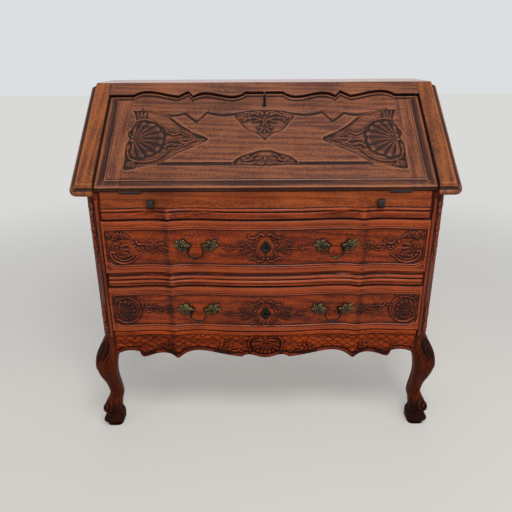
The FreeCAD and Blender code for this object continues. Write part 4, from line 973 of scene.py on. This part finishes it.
# The flower in a C-scroll at the ends of the upper drawer.
C_SCROLL = [(-9, -15), (-15, -12), (-19, -20), (-8, -38), (15, -47), (38, -42), (54, -29), (64, -25)]
FLOWER_END = {
    "stem": [
        (C_SCROLL, 3, 1.6, 4.4), ([(-10, -22), (2, -34), (18, -39), (36, -34), (46, -24)], 1.8, 1.2, 3.2),
    ],
    "leaf": [
        ([(6, 2), (20, 7), (36, 8)], 5, 4.2), ([(6, -3), (20, -6), (38, -6)], 5, 4.2),
        ([(4, -6), (16, -15), (32, -18)], 4, 3.4), ([(-12, 24), (10, 36), (44, 24)], 9, 3.4, 9),
        ([(-16, 28), (-22, 36), (-27, 45)], 5, 3, 4),
    ],
    "bead": [
        ((0, 0), 4, 4.6), ((44, 13), 4, 4.2), ((58, -3), 3, 4.2), ((0, 30), 2.6, 4.2),
        ((18, 28), 2.6, 4.2), ((32, 31), 2.4, 4.2), ((50, 3), 2.4, 4.2),
    ],
}
for turn in np.radians(range(60, 300, 26)):
    x, z = 17 * math.cos(turn), 19 * math.sin(turn)
    FLOWER_END["leaf"].append(([(0.2 * x, 0.2 * z), (0.6 * x, 0.6 * z), (x, z)], 3.6, 3.6))
for k in range(5):
    frond = [(4 + 8 * k, -34 + 2 * k), (6 + 8 * k, -28 + k), (11 + 8 * k, -25 + 2 * k)]
    FLOWER_END["leaf"].append((frond, 2.8, 3.2))

# A shell in the ring of a C-scroll at the ends of the lower drawer.
C_RING = [(39 * math.cos(a), 41 * math.sin(a)) for a in np.radians(np.linspace(116, -128, 9))]
END_RIM = [(-20, 32), (2, 32), (20, 20), (27, 2), (23, -18), (6, -30), (-18, -33)]
SHELL_END = {
    "fan": [((-27, -5), END_RIM, 9, 3.6)],
    "stem": [
        (C_RING, 2.2, 2.8, 3.8), ([(-14, 37), (-25, 33), (-30, 22)], 2.2, 1.4, 3.2),
        ([(-22, -33), (-31, -26), (-30, -16)], 2.4, 1.6, 3.6),
    ],
    "leaf": [
        ([(-26, 34), (-31, 40), (-36, 46)], 4.6, 3, 4),
        *[([(-22 + 9 * k, 40), (-14 + 9 * k, 45), (-6 + 9 * k, 45 - 3 * k)], 3, 2.8) for k in range(5)],
    ],
    "bead": [
        ((46, 12), 3, 4), ((47, -8), 2.6, 4), ((-24, -4), 4, 4), ((-18, 4), 2.6, 4), ((-19, -12), 2.6, 4),
    ],
}

# The tail of small scrolls and leaves that runs from an end ornament towards the handle.
SCROLL_TAIL = {
    "stem": [
        ([(54, 18), (58, 11), (66, 8), (78, 10), (83, 16)], 2.3, 1.5, 3.8),
        ([(58, -6), (66, -9), (72, -4), (67, -1)], 1.9, 1.3, 3.2),
        ([(84, -9), (94, -12), (107, -11), (112, -6)], 1.8, 1.2, 3.4),
    ],
    "leaf": [
        ([(76, 4), (88, 6), (102, 4)], 4.6, 3.2, 5), ([(78, -6), (92, -5), (106, -2)], 4.6, 3.2, 5),
        ([(110, -2), (124, -6), (138, -16)], 5, 3, 6), ([(110, 4), (122, 9), (136, 11)], 5, 3, 6),
        ([(116, 1), (130, 0), (146, -3)], 3.6, 2.8, 4),
    ],
    "bead": [((80, -1), 2.4, 3.6), ((97, 0), 2.2, 3.6), ((108, 4), 2.4, 3.6)],
}
print("drawer ornaments drawn, with", len(FLOWER_END["leaf"]), "leaves round each flower")

# %% [markdown]
# Lip, field and shading of the drawers. The lip covers the gap round a drawer, so its wall steps back to a
# lap and then to a narrower body that enters the case. Painted shadow fills the gaps, dirt and painted
# shade darken the ornament, and painted highlights run along the upper edge of the lip and the lips.

# %% Drawer fronts
FIELD_HALF = 442
LIP = 4.0
KEYHOLES = {"upper_drawer": 599, "lower_drawer": 394}


def frame_moulding(x, z, low, high, middle, half):
    """Lip, bead and field of a drawer front: heights over the field."""
    corner = np.where(z > middle, 11, 24)
    dx = np.abs(x) - FIELD_HALF + corner
    dz = np.abs(z - middle) - half + corner
    out = np.hypot(np.maximum(dx, 0), np.maximum(dz, 0)) + np.minimum(np.maximum(dx, dz), 0) - corner
    lip = LIP * ease(out, 3.2, 4.4) - 0.9 * hump(out, 9.4, 1.3)
    bead = 3.4 * hump(out, 0.4, 2.2) * (1 - 0.85 * ease(dx - dz, -4, 12))
    edge = np.minimum(np.minimum(z - low, high - z), FRONT_HALF - np.abs(x))
    return np.maximum(lip, bead) - 4 * (1 - hump(np.minimum(edge, 6), 6, 6))


def drawer_front(drawer, low, high, middle, half, end_place, end_ornament, soil_and_shade):
    """A carved drawer front between two heights, with some dirt and painted shade on its ornament and a
    little over its face.
    """
    x, z = grid(-FRONT_HALF, FRONT_HALF, 760, low, high, 120)
    side = np.abs(x)
    spray = Relief(side, z - KEYHOLES[drawer]).carve(KEYHOLE_SPRAY)
    end = Relief(end_place[0] - side, z - end_place[1]).carve(end_ornament, SCROLL_TAIL)
    rise = np.maximum(spray, end)
    ripple = 0.35 * np.sin(1.9 * x + 0.7 * z) * np.sin(1.5 * z - 0.9 * x) * ease(rise, CARVED, 1)
    height = np.maximum(frame_moulding(x, z, low, high, middle, half), rise + ripple)
    # Painted shadow in the gaps above and below the front and in the hollows beside the ridges; dirt and
    # painted shade on the ornament and a little over the face.
    gap_shadow = 1.2 * ease(3.4 - np.minimum(1.6 * (z - low), high - z), 0, 1.8)
    dirt_shade_and_highlight = gap_shadow + ridge_shade(x) + 0.48 * near(rise, 5, 0.05, 0.7) + soil_and_shade * (0.2 + (rise > CARVED))
    # The ends are stained darker, a painted highlight runs along the top edge, and the lips are painted
    # lighter as a highlight.
    dirt_shade_and_highlight = dirt_shade_and_highlight + 0.25 * ease(side, 420, 450) - 0.9 * hump(high - z, 6.2, 2.4)
    dirt_shade_and_highlight = dirt_shade_and_highlight - 0.3 * ease(np.abs(z - middle), half + 3, half + 6)
    form = bmesh.new()
    add_board(form, x, z, front_place, height, [lap_edge, lap_corner, front_back], dirt_shade_and_highlight=dirt_shade_and_highlight, rub=0.88)
    piece_of(f"{drawer}_front_carved", form, drawer, [f"{drawer}_front"], oak_front)


drawer_front("upper_drawer", 523, 678, 599.5, 53.5, (414, 600), FLOWER_END, 0.28)
drawer_front("lower_drawer", 336, 479, 404.5, 50.5, (404, 405), SHELL_END, 0.38)
print("drawer fronts carved")

# %% [markdown]
# The apron ends the front. Its lower edge is taken from the frame by rays from below; along it runs a
# rolled bead. The ground is scratched with a net of diamonds, a shell hangs in the middle and leaf sprays
# lie beside it.

# %% Apron
APRON_TOP = 334
APRON_HALF = 445.9
APRON_DEPTH = -215
UNDER_APRON = 150
NET_WIDE, NET_HIGH = 29.0, 20.0

# Shell, scrolls and leaves on the apron.
APRON_RIM = [(-44, 296), (-42, 280), (-28, 265), (0, 258), (28, 265), (42, 280), (44, 296)]
APRON_SPRAYS = {
    "fan": [((0, 303), APRON_RIM, 9, 4.4)],
    "flower": [((0, 314), 9, 5, 3.6, math.pi / 2)],
    "stem": [
        ([(1, 301), (14, 307), (30, 305), (38, 297), (32, 292)], 3.4, 2, 4.2),
        ([(40, 318), (50, 304), (49, 284), (46, 270)], 3, 2, 3.8),
        ([(118, 292), (116, 300), (122, 304)], 2.6, 1.6, 3.4),
    ],
    "leaf": [
        ([(10, 312), (24, 318), (42, 312)], 4.6, 3.2, 3),
        ([(150, 260), (128, 272), (112, 292)], 7, 3.8, 4),
        ([(128, 266), (104, 276), (84, 282)], 5.5, 3.6, 3),
        ([(126, 264), (100, 266), (76, 270)], 4.6, 3.4, 2),
        ([(134, 264), (134, 280), (126, 298)], 5, 3.4, 2),
        ([(330, 262), (352, 260), (374, 254)], 5, 3.8, 2),
    ],
    "bead": [((47, 263), 4.2, 4.4), ((152, 266), 3, 3.4)],
}
for k in range(4):
    frond = [(272, 262), (286 + 8 * k, 276 + 2 * k), (284 + 14 * k, 302 - 7 * k)]
    APRON_SPRAYS["leaf"].append((frond, 7, 3.8, 3))

x, up = grid(-APRON_HALF, APRON_HALF, 744, 0, 1, 76)
columns = x[0]
apron_tree = frame_tree("front_apron")
hits = [ray(apron_tree, (a, APRON_DEPTH, UNDER_APRON), (0, 0, 1)) for a in columns]
edge_line = np.array([hit.z / MM if hit else APRON_TOP - 10 for hit in hits])
z = edge_line + up * (APRON_TOP - edge_line)
rise = Relief(np.abs(x), z).carve(APRON_SPRAYS)
tilt = np.gradient(edge_line, columns)
from_edge = (z - edge_line) / np.hypot(1, np.clip(tilt, -1.5, 1.5))
net_gap = 1 / math.hypot(1 / NET_WIDE, 1 / NET_HIGH)
net = np.zeros(x.shape)
for way in (1, -1):
    lines = x / NET_WIDE + way * z / NET_HIGH
    net = np.maximum(net, hump(np.abs(lines - np.round(lines)) * net_gap, 0, 1.2))
net = 1.3 * net * ease(from_edge, 13, 15) * (1 - ease(z, 318, 320))
rolled = np.maximum(4.6 * hump(from_edge, 5, 5), LIP * ease(z, 322, 324))
rolled = rolled - 1.6 * hump(from_edge, 12, 2.4) - 3 * (1 - hump(np.minimum(APRON_TOP - z, 5), 5, 5))
height = np.maximum(rolled, rise) - net * (rise < 0.4)
bare = 1 - near(rise, 4, 0.05, 0.5)
# Darker net lines, ground round the ornament and rolled edge, and painted shade in the hollows beside the
# ridges.
dirt_and_shade = 0.55 * net * bare + 0.62 * (1 - bare) + ridge_shade(x)
dirt_and_shade = dirt_and_shade + 0.95 * ease(11 - from_edge, 0, 3) + 0.8 * hump(from_edge, 12, 2.6)
form = bmesh.new()
add_board(form, x, z, front_place, height, [front_back], dirt_shade_and_highlight=dirt_and_shade, rub=0.6)
piece_of("front_apron_carved", form, "carcase", ["front_apron"], oak_apron)
print("apron carved")

# %% [markdown]
# Skins. The rails, posts, strips and legs of the frame have the right shape already, but no painted shade
# in their quirks and no carving. A skin is a fine grid laid over such a piece by rays, a third of a
# millimetre proud of it. It carries the same patina and painted shading as the carved boards, and leaves
# and beads can grow on it.

# %% Reeded rails
SKIN = 0.3
REED_HALF = 445.6


def rail_place(x, z, height):
    """Points of a rail in metres, with height towards the front."""
    return spots_of(x, -height, z)


def rail_skin(name, low, high, rows, band, quirks):
    """A skin over a reeded rail with a band (height, z, half width) and dark lines of painted shade (z,
    half width).
    """
    tree = frame_tree(name)
    x, z = grid(-REED_HALF, REED_HALF, 520, low, high, rows)
    hits = [ray(tree, (a, BEFORE, b), BACKWARD) for a, b in zip(x.ravel(), z.ravel())]
    depth = np.array([hit.y / MM for hit in hits]).reshape(x.shape)
    height = SKIN - depth + band[0] * hump(z, *band[1:])
    # The rail is a little polished all over, with painted shade beside the ridges and a dark line in each
    # quirk.
    dirt_and_shade = ridge_shade(x) - 0.2
    for level, half in quirks:
        dirt_and_shade = dirt_and_shade + 1.5 * hump(z, level, half)
    form = bmesh.new()
    add_board(form, x, z, rail_place, height, [lambda p: Vector((p.x, p.y + 3 * MM, p.z))], dirt_shade_and_highlight=dirt_and_shade)
    piece_of(f"{name}_skin", form, "carcase", [], oak_front)


# Lines of painted shade: along the gap under each rail and in the quirks between its reeds.
FRIEZE_QUIRKS = [(680, 3.6), (703.2, 2.4), (713.4, 3.2)]
DIVIDER_QUIRKS = [(481, 3.2), (490.4, 2), (502, 2.4), (513.6, 2.4)]
rail_skin("frieze_rail", 680.1, 713.6, 50, (2.6, 691.6, 11.2), FRIEZE_QUIRKS)
rail_skin("drawer_divider", 481.2, 520.6, 56, (4.2, 485.4, 3.6), DIVIDER_QUIRKS)
print("rails skinned")

# %% [markdown]
# The corner posts. Each has a narrow front face with a bead and a canted corner with hanging leaves.
# The grid runs along the bent face: s counts millimetres from the inner edge, round the corner and on
# over the cant. The bead ends where the open flap comes to lie.

# %% Corner posts
SIDES = {"left": -1, "right": 1}
POST_START = (453.2, -230)
POST_CORE = (468, -204)
POST_TURN = 12.8
POST_WIDTH = 43.5
POST_LOW, POST_HIGH = 312, 752
BEAD_LINE = 6
BEAD_END = 736
LEAF_LINE = 28
CANT = math.radians(45)


def post_place(side):
    """The place of a point on the bent face of a post on one side."""
    def place(s, z, height):
        turned = ease(s, POST_TURN - 4, POST_TURN + 4) * CANT
        past = np.maximum(s - POST_TURN, 0)
        x = POST_START[0] + np.minimum(s, POST_TURN) + past * math.cos(CANT) + height * np.sin(turned)
        y = POST_START[1] + past * math.sin(CANT) - height * np.cos(turned)
        return spots_of(side * x, y, z)
    return place


# Leaves that hang down the cant, and the bead beside it.
BEAD_RUN = [(BEAD_LINE, POST_LOW), (BEAD_LINE, 530), (BEAD_LINE, POST_HIGH)]
POST_LEAVES = (748, 664, 11), (676, 606, 9.5), (618, 566, 7.5), (408, 340, 9), (356, 314, 11)
POST_CARVING = {
    "stem": [(BEAD_RUN, 4.4, 4.4, 2.4)],
    "leaf": [],
    "bead": [((LEAF_LINE, z), 4, 4) for z in (560, 551, 414)],
}
for top, bottom, wide in POST_LEAVES:
    spine = [(LEAF_LINE, top), (LEAF_LINE - 1, (top + bottom) / 2), (LEAF_LINE, bottom)]
    POST_CARVING["leaf"].append((spine, wide, 5.6, 4))
    middle = top - 0.35 * (top - bottom)
    for way in (-1, 1):
        lobe = [(LEAF_LINE, top - 4), (LEAF_LINE + 8 * way, middle), (LEAF_LINE + 6 * way, middle - 18)]
        POST_CARVING["leaf"].append((lobe, 4.6, 4.2, 2))

for hand, side in SIDES.items():
    s, z = grid(0, POST_WIDTH, 44, POST_LOW, POST_HIGH, 300)
    rise = Relief(s, z).carve(POST_CARVING)
    rise = rise * np.where(s < POST_TURN + 1, ease(BEAD_END - z, 0, 3), 1)
    dirt_and_shade = 0.5 * hump(s, 12.6, 1.6) + 0.35 * hump(s, 0.4, 1.4) + 0.2 * near(rise, 3, 0.1, 0.6)
    core = Vector((side * POST_CORE[0], POST_CORE[1])) * MM
    rings = [lambda p, core=core: p.lerp(Vector((core.x, core.y, p.z)), 0.2)]
    form = bmesh.new()
    add_board(form, s, z, post_place(side), rise + SKIN, rings, dirt_shade_and_highlight=dirt_and_shade)
    piece_of(f"post_carving_{hand}", form, "carcase", [], oak_dark["upright"])
print("posts carved")

# %% [markdown]
# The legs. The same skin wraps round each front leg: rays run from all sides to the middle of the leg, so
# the grid has an angle and a height instead of x and z. On the knee hangs a leaf, a rim follows the
# leg's edges, and the fetlock has a curl.

# %% Front legs
LEG_LOW, LEG_TOP = 3, 308
LEG_FRONT = -256.9
LEG_MIDDLE = -215
LEG_INSIDE, LEG_OUTSIDE = 300, 700
LEG_REACH = 120
LEG_ROUND = 34
OUTER_CORNER = math.radians(-58)

# The leaf on the knee, the rim on the leg's edges and the curl on the fetlock.
CURL = [
    (r * math.cos(a), 67 + 0.9 * r * math.sin(a))
    for a, r in zip(np.linspace(2, 12, 18), np.linspace(21, 3, 18))
]
KNEE = {
    "stem": [(CURL, 3.6, 2.4, 3), ([(-20, 44), (0, 40), (20, 44)], 2.6, 2.6, 1.6)],
    "leaf": [([(0, 302), (-2, 262), (0, 204)], 17, 2.6)],
}
for way in (-1, 1):
    scroll = [(14 * way, 304), (27 * way, 288), (26 * way, 264), (15 * way, 240), (4 * way, 212)]
    rim = [(48 * way, 300), (50 * way, 220), (46 * way, 150), (44 * way, 96)]
    KNEE["stem"] += [(scroll, 4.4, 2, 2.4), (rim, 3, 1.8, 1.8)]
    KNEE["leaf"].append(([(30 * way, 300), (36 * way, 280), (30 * way, 252)], 6.5, 2))


def leg_skin(name, side):
    """Wrap a skin with carving round one front leg."""
    tree = frame_tree(name)
    turn, z = grid(0, 2 * np.pi, 145, LEG_LOW, LEG_TOP, 190)
    points = np.empty(turn.shape + (3,))
    for row, level in enumerate(z[:, 0]):
        outer = ray(tree, (side * LEG_OUTSIDE, LEG_MIDDLE, level), (-side, 0, 0)).x
        inner = ray(tree, (side * LEG_INSIDE, LEG_MIDDLE, level), (side, 0, 0)).x
        middle = Vector(((outer + inner) / 2 / MM, LEG_MIDDLE, level))
        for column, a in enumerate(turn[0]):
            way = Vector((side * math.cos(a), math.sin(a), 0))
            points[row, column] = ray(tree, middle + LEG_REACH * way, -way) / MM
    around_leg = ((turn - OUTER_CORNER + np.pi) % (2 * np.pi) - np.pi) * LEG_ROUND
    height = Relief(around_leg, z).carve(KNEE) + SKIN

    def place(turn, z, height):
        x = points[..., 0].ravel() + side * height * np.cos(turn)
        y = points[..., 1].ravel() + height * np.sin(turn)
        return spots_of(x, np.maximum(y, LEG_FRONT), z)

    stain = ease(1 - np.hypot(around_leg / 36, (z - 270) / 48), 0, 0.6)
    dirt_and_shade = 0.6 * stain + 0.5 * ease(100 - z, 0, 30)
    form = bmesh.new()
    add_board(form, turn, z, place, height, [], True, dirt_shade_and_highlight=dirt_and_shade, rub=0.5)
    piece_of(f"{name}_skin", form, "carcase", [], oak_leg)


for hand, side in SIDES.items():
    leg_skin(f"front_leg_{hand}", side)
print("legs carved")

# %% [markdown]
# The strips beside the flap have a flat face, a quirk and a moulding that goes round the foot. Their skin
# adds painted shade, a dark line in the quirk and a dark edge and wall against the flap, and darkens the
# moulding.

# %% Slope strips
STRIP_START = 459.6
STRIP_INNER, STRIP_OUTER = 460.3, 518
STRIP_LOW, STRIP_HIGH = -9, 389
STRIP_QUIRK = 506.4
STRIP_FOOT = 4
OVER_SLOPE = 80


def strip_skin(name, side):
    """Lay a skin over one strip of the slope."""
    tree = frame_tree(name)
    x, v = grid(STRIP_INNER, STRIP_OUTER, 60, STRIP_LOW, STRIP_HIGH, 240)
    starts = [slope_spot(side * a, b, OVER_SLOPE) for a, b in zip(x.ravel(), v.ravel())]
    hits = [(ray(tree, start, -OUT_SLOPE) / MM - HINGE).dot(OUT_SLOPE) for start in starts]
    height = np.array(hits).reshape(x.shape) + SKIN
    x[:, 0] = STRIP_START
    foot = np.minimum(STRIP_QUIRK - x, v - STRIP_FOOT)
    # Painted shadow along the edge and wall against the flap, painted shade in the quirk, and a darker
    # moulding outside it.
    dirt_and_shade = 0.9 * ease(STRIP_START + 3 - x, 0, 2) + 0.8 * hump(foot, 0, 2.2) + 0.26 * ease(-foot, 2, 4)
    rings = [lambda p: p - OUT_SLOPE * MM, lambda p: p - OUT_SLOPE * 8 * MM]
    form = bmesh.new()
    add_board(form, x, v, lambda x, v, w: slope_points(side * x, v, w), height, rings, dirt_shade_and_highlight=dirt_and_shade, wall_shade=1.0)
    piece_of(f"{name}_skin", form, "carcase", [], oak_strip)


for hand, side in SIDES.items():
    strip_skin(f"slope_strip_{hand}", side)
print("strips skinned")

# %% [markdown]
# Brass. The rosettes are leafy stars cast over a dome; each holds a small eye for the pin of a bail. They
# are made on a grid of angles and reaches instead of x and z, closed into a disc.

# %% Rosettes
HANDLES = {"upper_drawer": 606, "lower_drawer": 408}
HANDLE_PLACE = 195
HANDLE_HALF = 40
BAIL_AXIS = -248
EYE_RADIUS, EYE_ROD = 3.95, 1.5
ROSETTE_WIDE, ROSETTE_TALL = 29, 23
ROSETTE_LEAN = 0.32


def add_medal(form, middle, outline, relief, base, dirt_shade_and_highlight=0.0, lean=0.0):
    """Add a cast plate: outline and relief by angle and share of the reach, leaning sideways."""
    turn, share = grid(0, 2 * np.pi, 97, 0, 1, 20)

    def place(turn, share, height):
        wide, tall = outline(turn)
        x = middle[0] + share * wide * np.cos(turn)
        z = share * tall * np.sin(turn)
        return spots_of(x + lean * z, base - height, middle[1] + z)

    rings = [lambda p: Vector((p.x, (base + 1.5) * MM, p.z))]
    add_board(form, turn, share, place, relief(turn, share), rings, True, dirt_shade_and_highlight)


def add_ring(form, middle, radius, rod):
    """Add an eye: a ring whose hole runs across, along x."""
    turn, round_rod = grid(0, 2 * np.pi, 33, 0, 2 * np.pi, 17)

    def place(turn, round_rod, height):
        reach = radius + rod * np.cos(round_rod)
        x = middle[0] + rod * np.sin(round_rod)
        return spots_of(x, middle[1] + reach * np.cos(turn), middle[2] + reach * np.sin(turn))

    add_board(form, turn, round_rod, place, np.zeros(turn.shape), [], True)


def rosette_outline(turn):
    """A ragged star: six leaves of uneven length with small side points."""
    point = np.abs(np.cos(3 * turn)) ** 1.4
    small = np.abs(np.cos(9 * turn + 0.4)) ** 2
    reach = 0.5 + 0.36 * point + 0.14 * small + 0.07 * np.cos(turn + 0.8) + 0.05 * np.sin(2 * turn)
    return ROSETTE_WIDE * reach, ROSETTE_TALL * reach


def rosette_relief(turn, share):
    """A dome with curled leaves and cut veins."""
    leaf = np.abs(np.cos(3 * turn)) ** 1.4
    vein = np.abs(np.cos(9 * turn + 0.4))
    dome = 7.2 * np.clip(1 - share ** 2, 0, 1) ** 0.7
    curl = 2.2 * np.sin(3.4 * np.pi * share) ** 2 * (0.4 + 0.6 * leaf)
    cuts = 2.4 * (vein - 0.5) * ease(share, 0.2, 0.5) * (1 - 0.6 * share)
    return 2.2 + dome + curl + cuts - 1.2 * ease(share, 0.88, 1)


for drawer, level in HANDLES.items():
    form = bmesh.new()
    for side in (-1, 1):
        for end in (-1, 1):
            x = side * HANDLE_PLACE + end * HANDLE_HALF
            base = float(front_plan(x)) + 0.5
            add_medal(form, (x, level), rosette_outline, rosette_relief, base, lean=ROSETTE_LEAN * end)
            add_ring(form, (x, BAIL_AXIS, level), EYE_RADIUS, EYE_ROD)
    piece_of(f"{drawer}_leaf_rosettes", form, drawer, [f"{drawer}_rosettes"], brass_old)
print("rosettes cast")

# %% [markdown]
# Keyhole plates. Lobed shields of the same brass guard the keyholes of the drawers. They are cast as the
# rosettes are, with a sunk hole, a rim round it and rays.

# %% Keyhole plates
PLATE_WIDE, PLATE_TALL = 14.5, 18.5


def plate_outline(turn):
    """A lobed shield round a keyhole."""
    lobes = 0.92 + 0.1 * np.cos(4 * turn) + 0.1 * np.abs(np.cos(7 * turn)) ** 2 + 0.06 * np.sin(turn)
    return PLATE_WIDE * lobes, PLATE_TALL * lobes


def plate_relief(turn, share):
    """A hole with a rim, and rays round it."""
    rays = np.abs(np.cos(7 * turn)) * ease(share, 0.5, 0.7)
    hole = 2.6 * (1 - ease(share, 0.2, 0.34))
    rim = 1.6 * hump(share, 0.46, 0.12)
    return 3 - hole + rim + 1.8 * rays * (1 - ease(share, 0.85, 1)) - 0.9 * ease(share, 0.88, 1)


for drawer, level in KEYHOLES.items():
    form = bmesh.new()
    add_medal(form, (0, level), plate_outline, plate_relief, float(front_plan(0.0)) + 0.3, 0.8)
    piece_of(f"{drawer}_leaf_plate", form, drawer, [f"{drawer}_keyhole_plate"], brass_old)
print("keyhole plates cast")

# %% [markdown]
# The knobs of the lopers are small iron squares with a bevelled face. A cube becomes one with three
# operators: its front is inset and pushed out, and then all its edges are bevelled.

# %% Loper knobs
KNOB_SIZE = 18.6
KNOB_DEPTH = 13
KNOB_PLACE = (311, -235.5, 725)


def knob(hand, side):
    """One square knob with a facetted face."""
    form = bmesh.new()
    bmesh.ops.create_cube(form, size=1)
    sizes = Vector((KNOB_SIZE, KNOB_DEPTH, KNOB_SIZE)) * MM
    bmesh.ops.scale(form, vec=sizes, verts=form.verts[:])
    middle = Vector((side * KNOB_PLACE[0], *KNOB_PLACE[1:])) * MM
    bmesh.ops.translate(form, vec=middle, verts=form.verts[:])
    front = min(form.faces, key=lambda face: face.calc_center_median().y)
    bmesh.ops.inset_individual(form, faces=[front], thickness=3.4 * MM, depth=2.4 * MM)
    edges = {"affect": "EDGES", "segments": 2, "profile": 0.5, "material": -1, "offset": 0.7 * MM}
    bmesh.ops.bevel(form, geom=form.edges[:], **edges)
    name = f"loper_knob_{hand}"
    piece_of(f"{name}_bevelled", form, f"loper_{hand}", [name], iron_dark)


for hand, side in SIDES.items():
    knob(hand, side)
print("knobs made")

# %% [markdown]
# The key stands in the flap's lock. Its stem gets a stout grip and a thick bow: a cylinder for the grip,
# and for the bow a small circle that is spun once round. Both find their place from the frame's own key,
# and turn with it.

# %% Key
GRIP_RADIUS = 3.8
GRIP_START = 3
BOW_RADIUS, BOW_ROD = 6.1, 2.9
SLOPE_TURN = Matrix((Vector((1, 0, 0)), UP_SLOPE, OUT_SLOPE)).transposed().to_4x4()

key_spots = [vert.co / MM - HINGE for vert in nodes["flap_key"].data.vertices]
key_spots = [(spot.dot(UP_SLOPE), spot.dot(OUT_SLOPE)) for spot in key_spots]
key_top = max(lift for _, lift in key_spots)
bow_ups = [up for up, lift in key_spots if lift > key_top - BOW_RADIUS]
key_up = (min(bow_ups) + max(bow_ups)) / 2
bow_lift = key_top - BOW_RADIUS - BOW_ROD
grip_ends = FLAP_FACE + GRIP_START, bow_lift - BOW_RADIUS
form = bmesh.new()
grip = {"cap_ends": True, "segments": 24, "depth": (grip_ends[1] - grip_ends[0]) * MM}
grip["matrix"] = Matrix.Translation(slope_spot(0, key_up, sum(grip_ends) / 2) * MM) @ SLOPE_TURN
bmesh.ops.create_cone(form, radius1=GRIP_RADIUS * MM, radius2=GRIP_RADIUS * MM, **grip)
rims = [edge for edge in form.edges if edge.calc_face_angle() > 1]
bmesh.ops.bevel(form, geom=rims, affect="EDGES", segments=2, profile=0.5, material=-1, offset=MM)
centre = slope_spot(0, key_up, bow_lift) * MM
start = Matrix.Translation(centre + OUT_SLOPE * BOW_RADIUS * MM)
start = start @ SLOPE_TURN @ Matrix.Rotation(math.pi / 2, 4, "X")
circle = bmesh.ops.create_circle(form, segments=16, radius=BOW_ROD * MM, matrix=start)["verts"]
rod = circle + list({edge for vert in circle for edge in vert.link_edges})
spun = {"cent": centre, "axis": (1, 0, 0), "angle": 2 * math.pi, "steps": 36, "use_merge": True}
bmesh.ops.spin(form, geom=rod, **spun)
for face in form.faces:
    face.smooth = True
piece_of("flap_key_grip", form, "flap_key", [], iron_dark)
print("key made, standing", round(key_top), "mm over the slope")
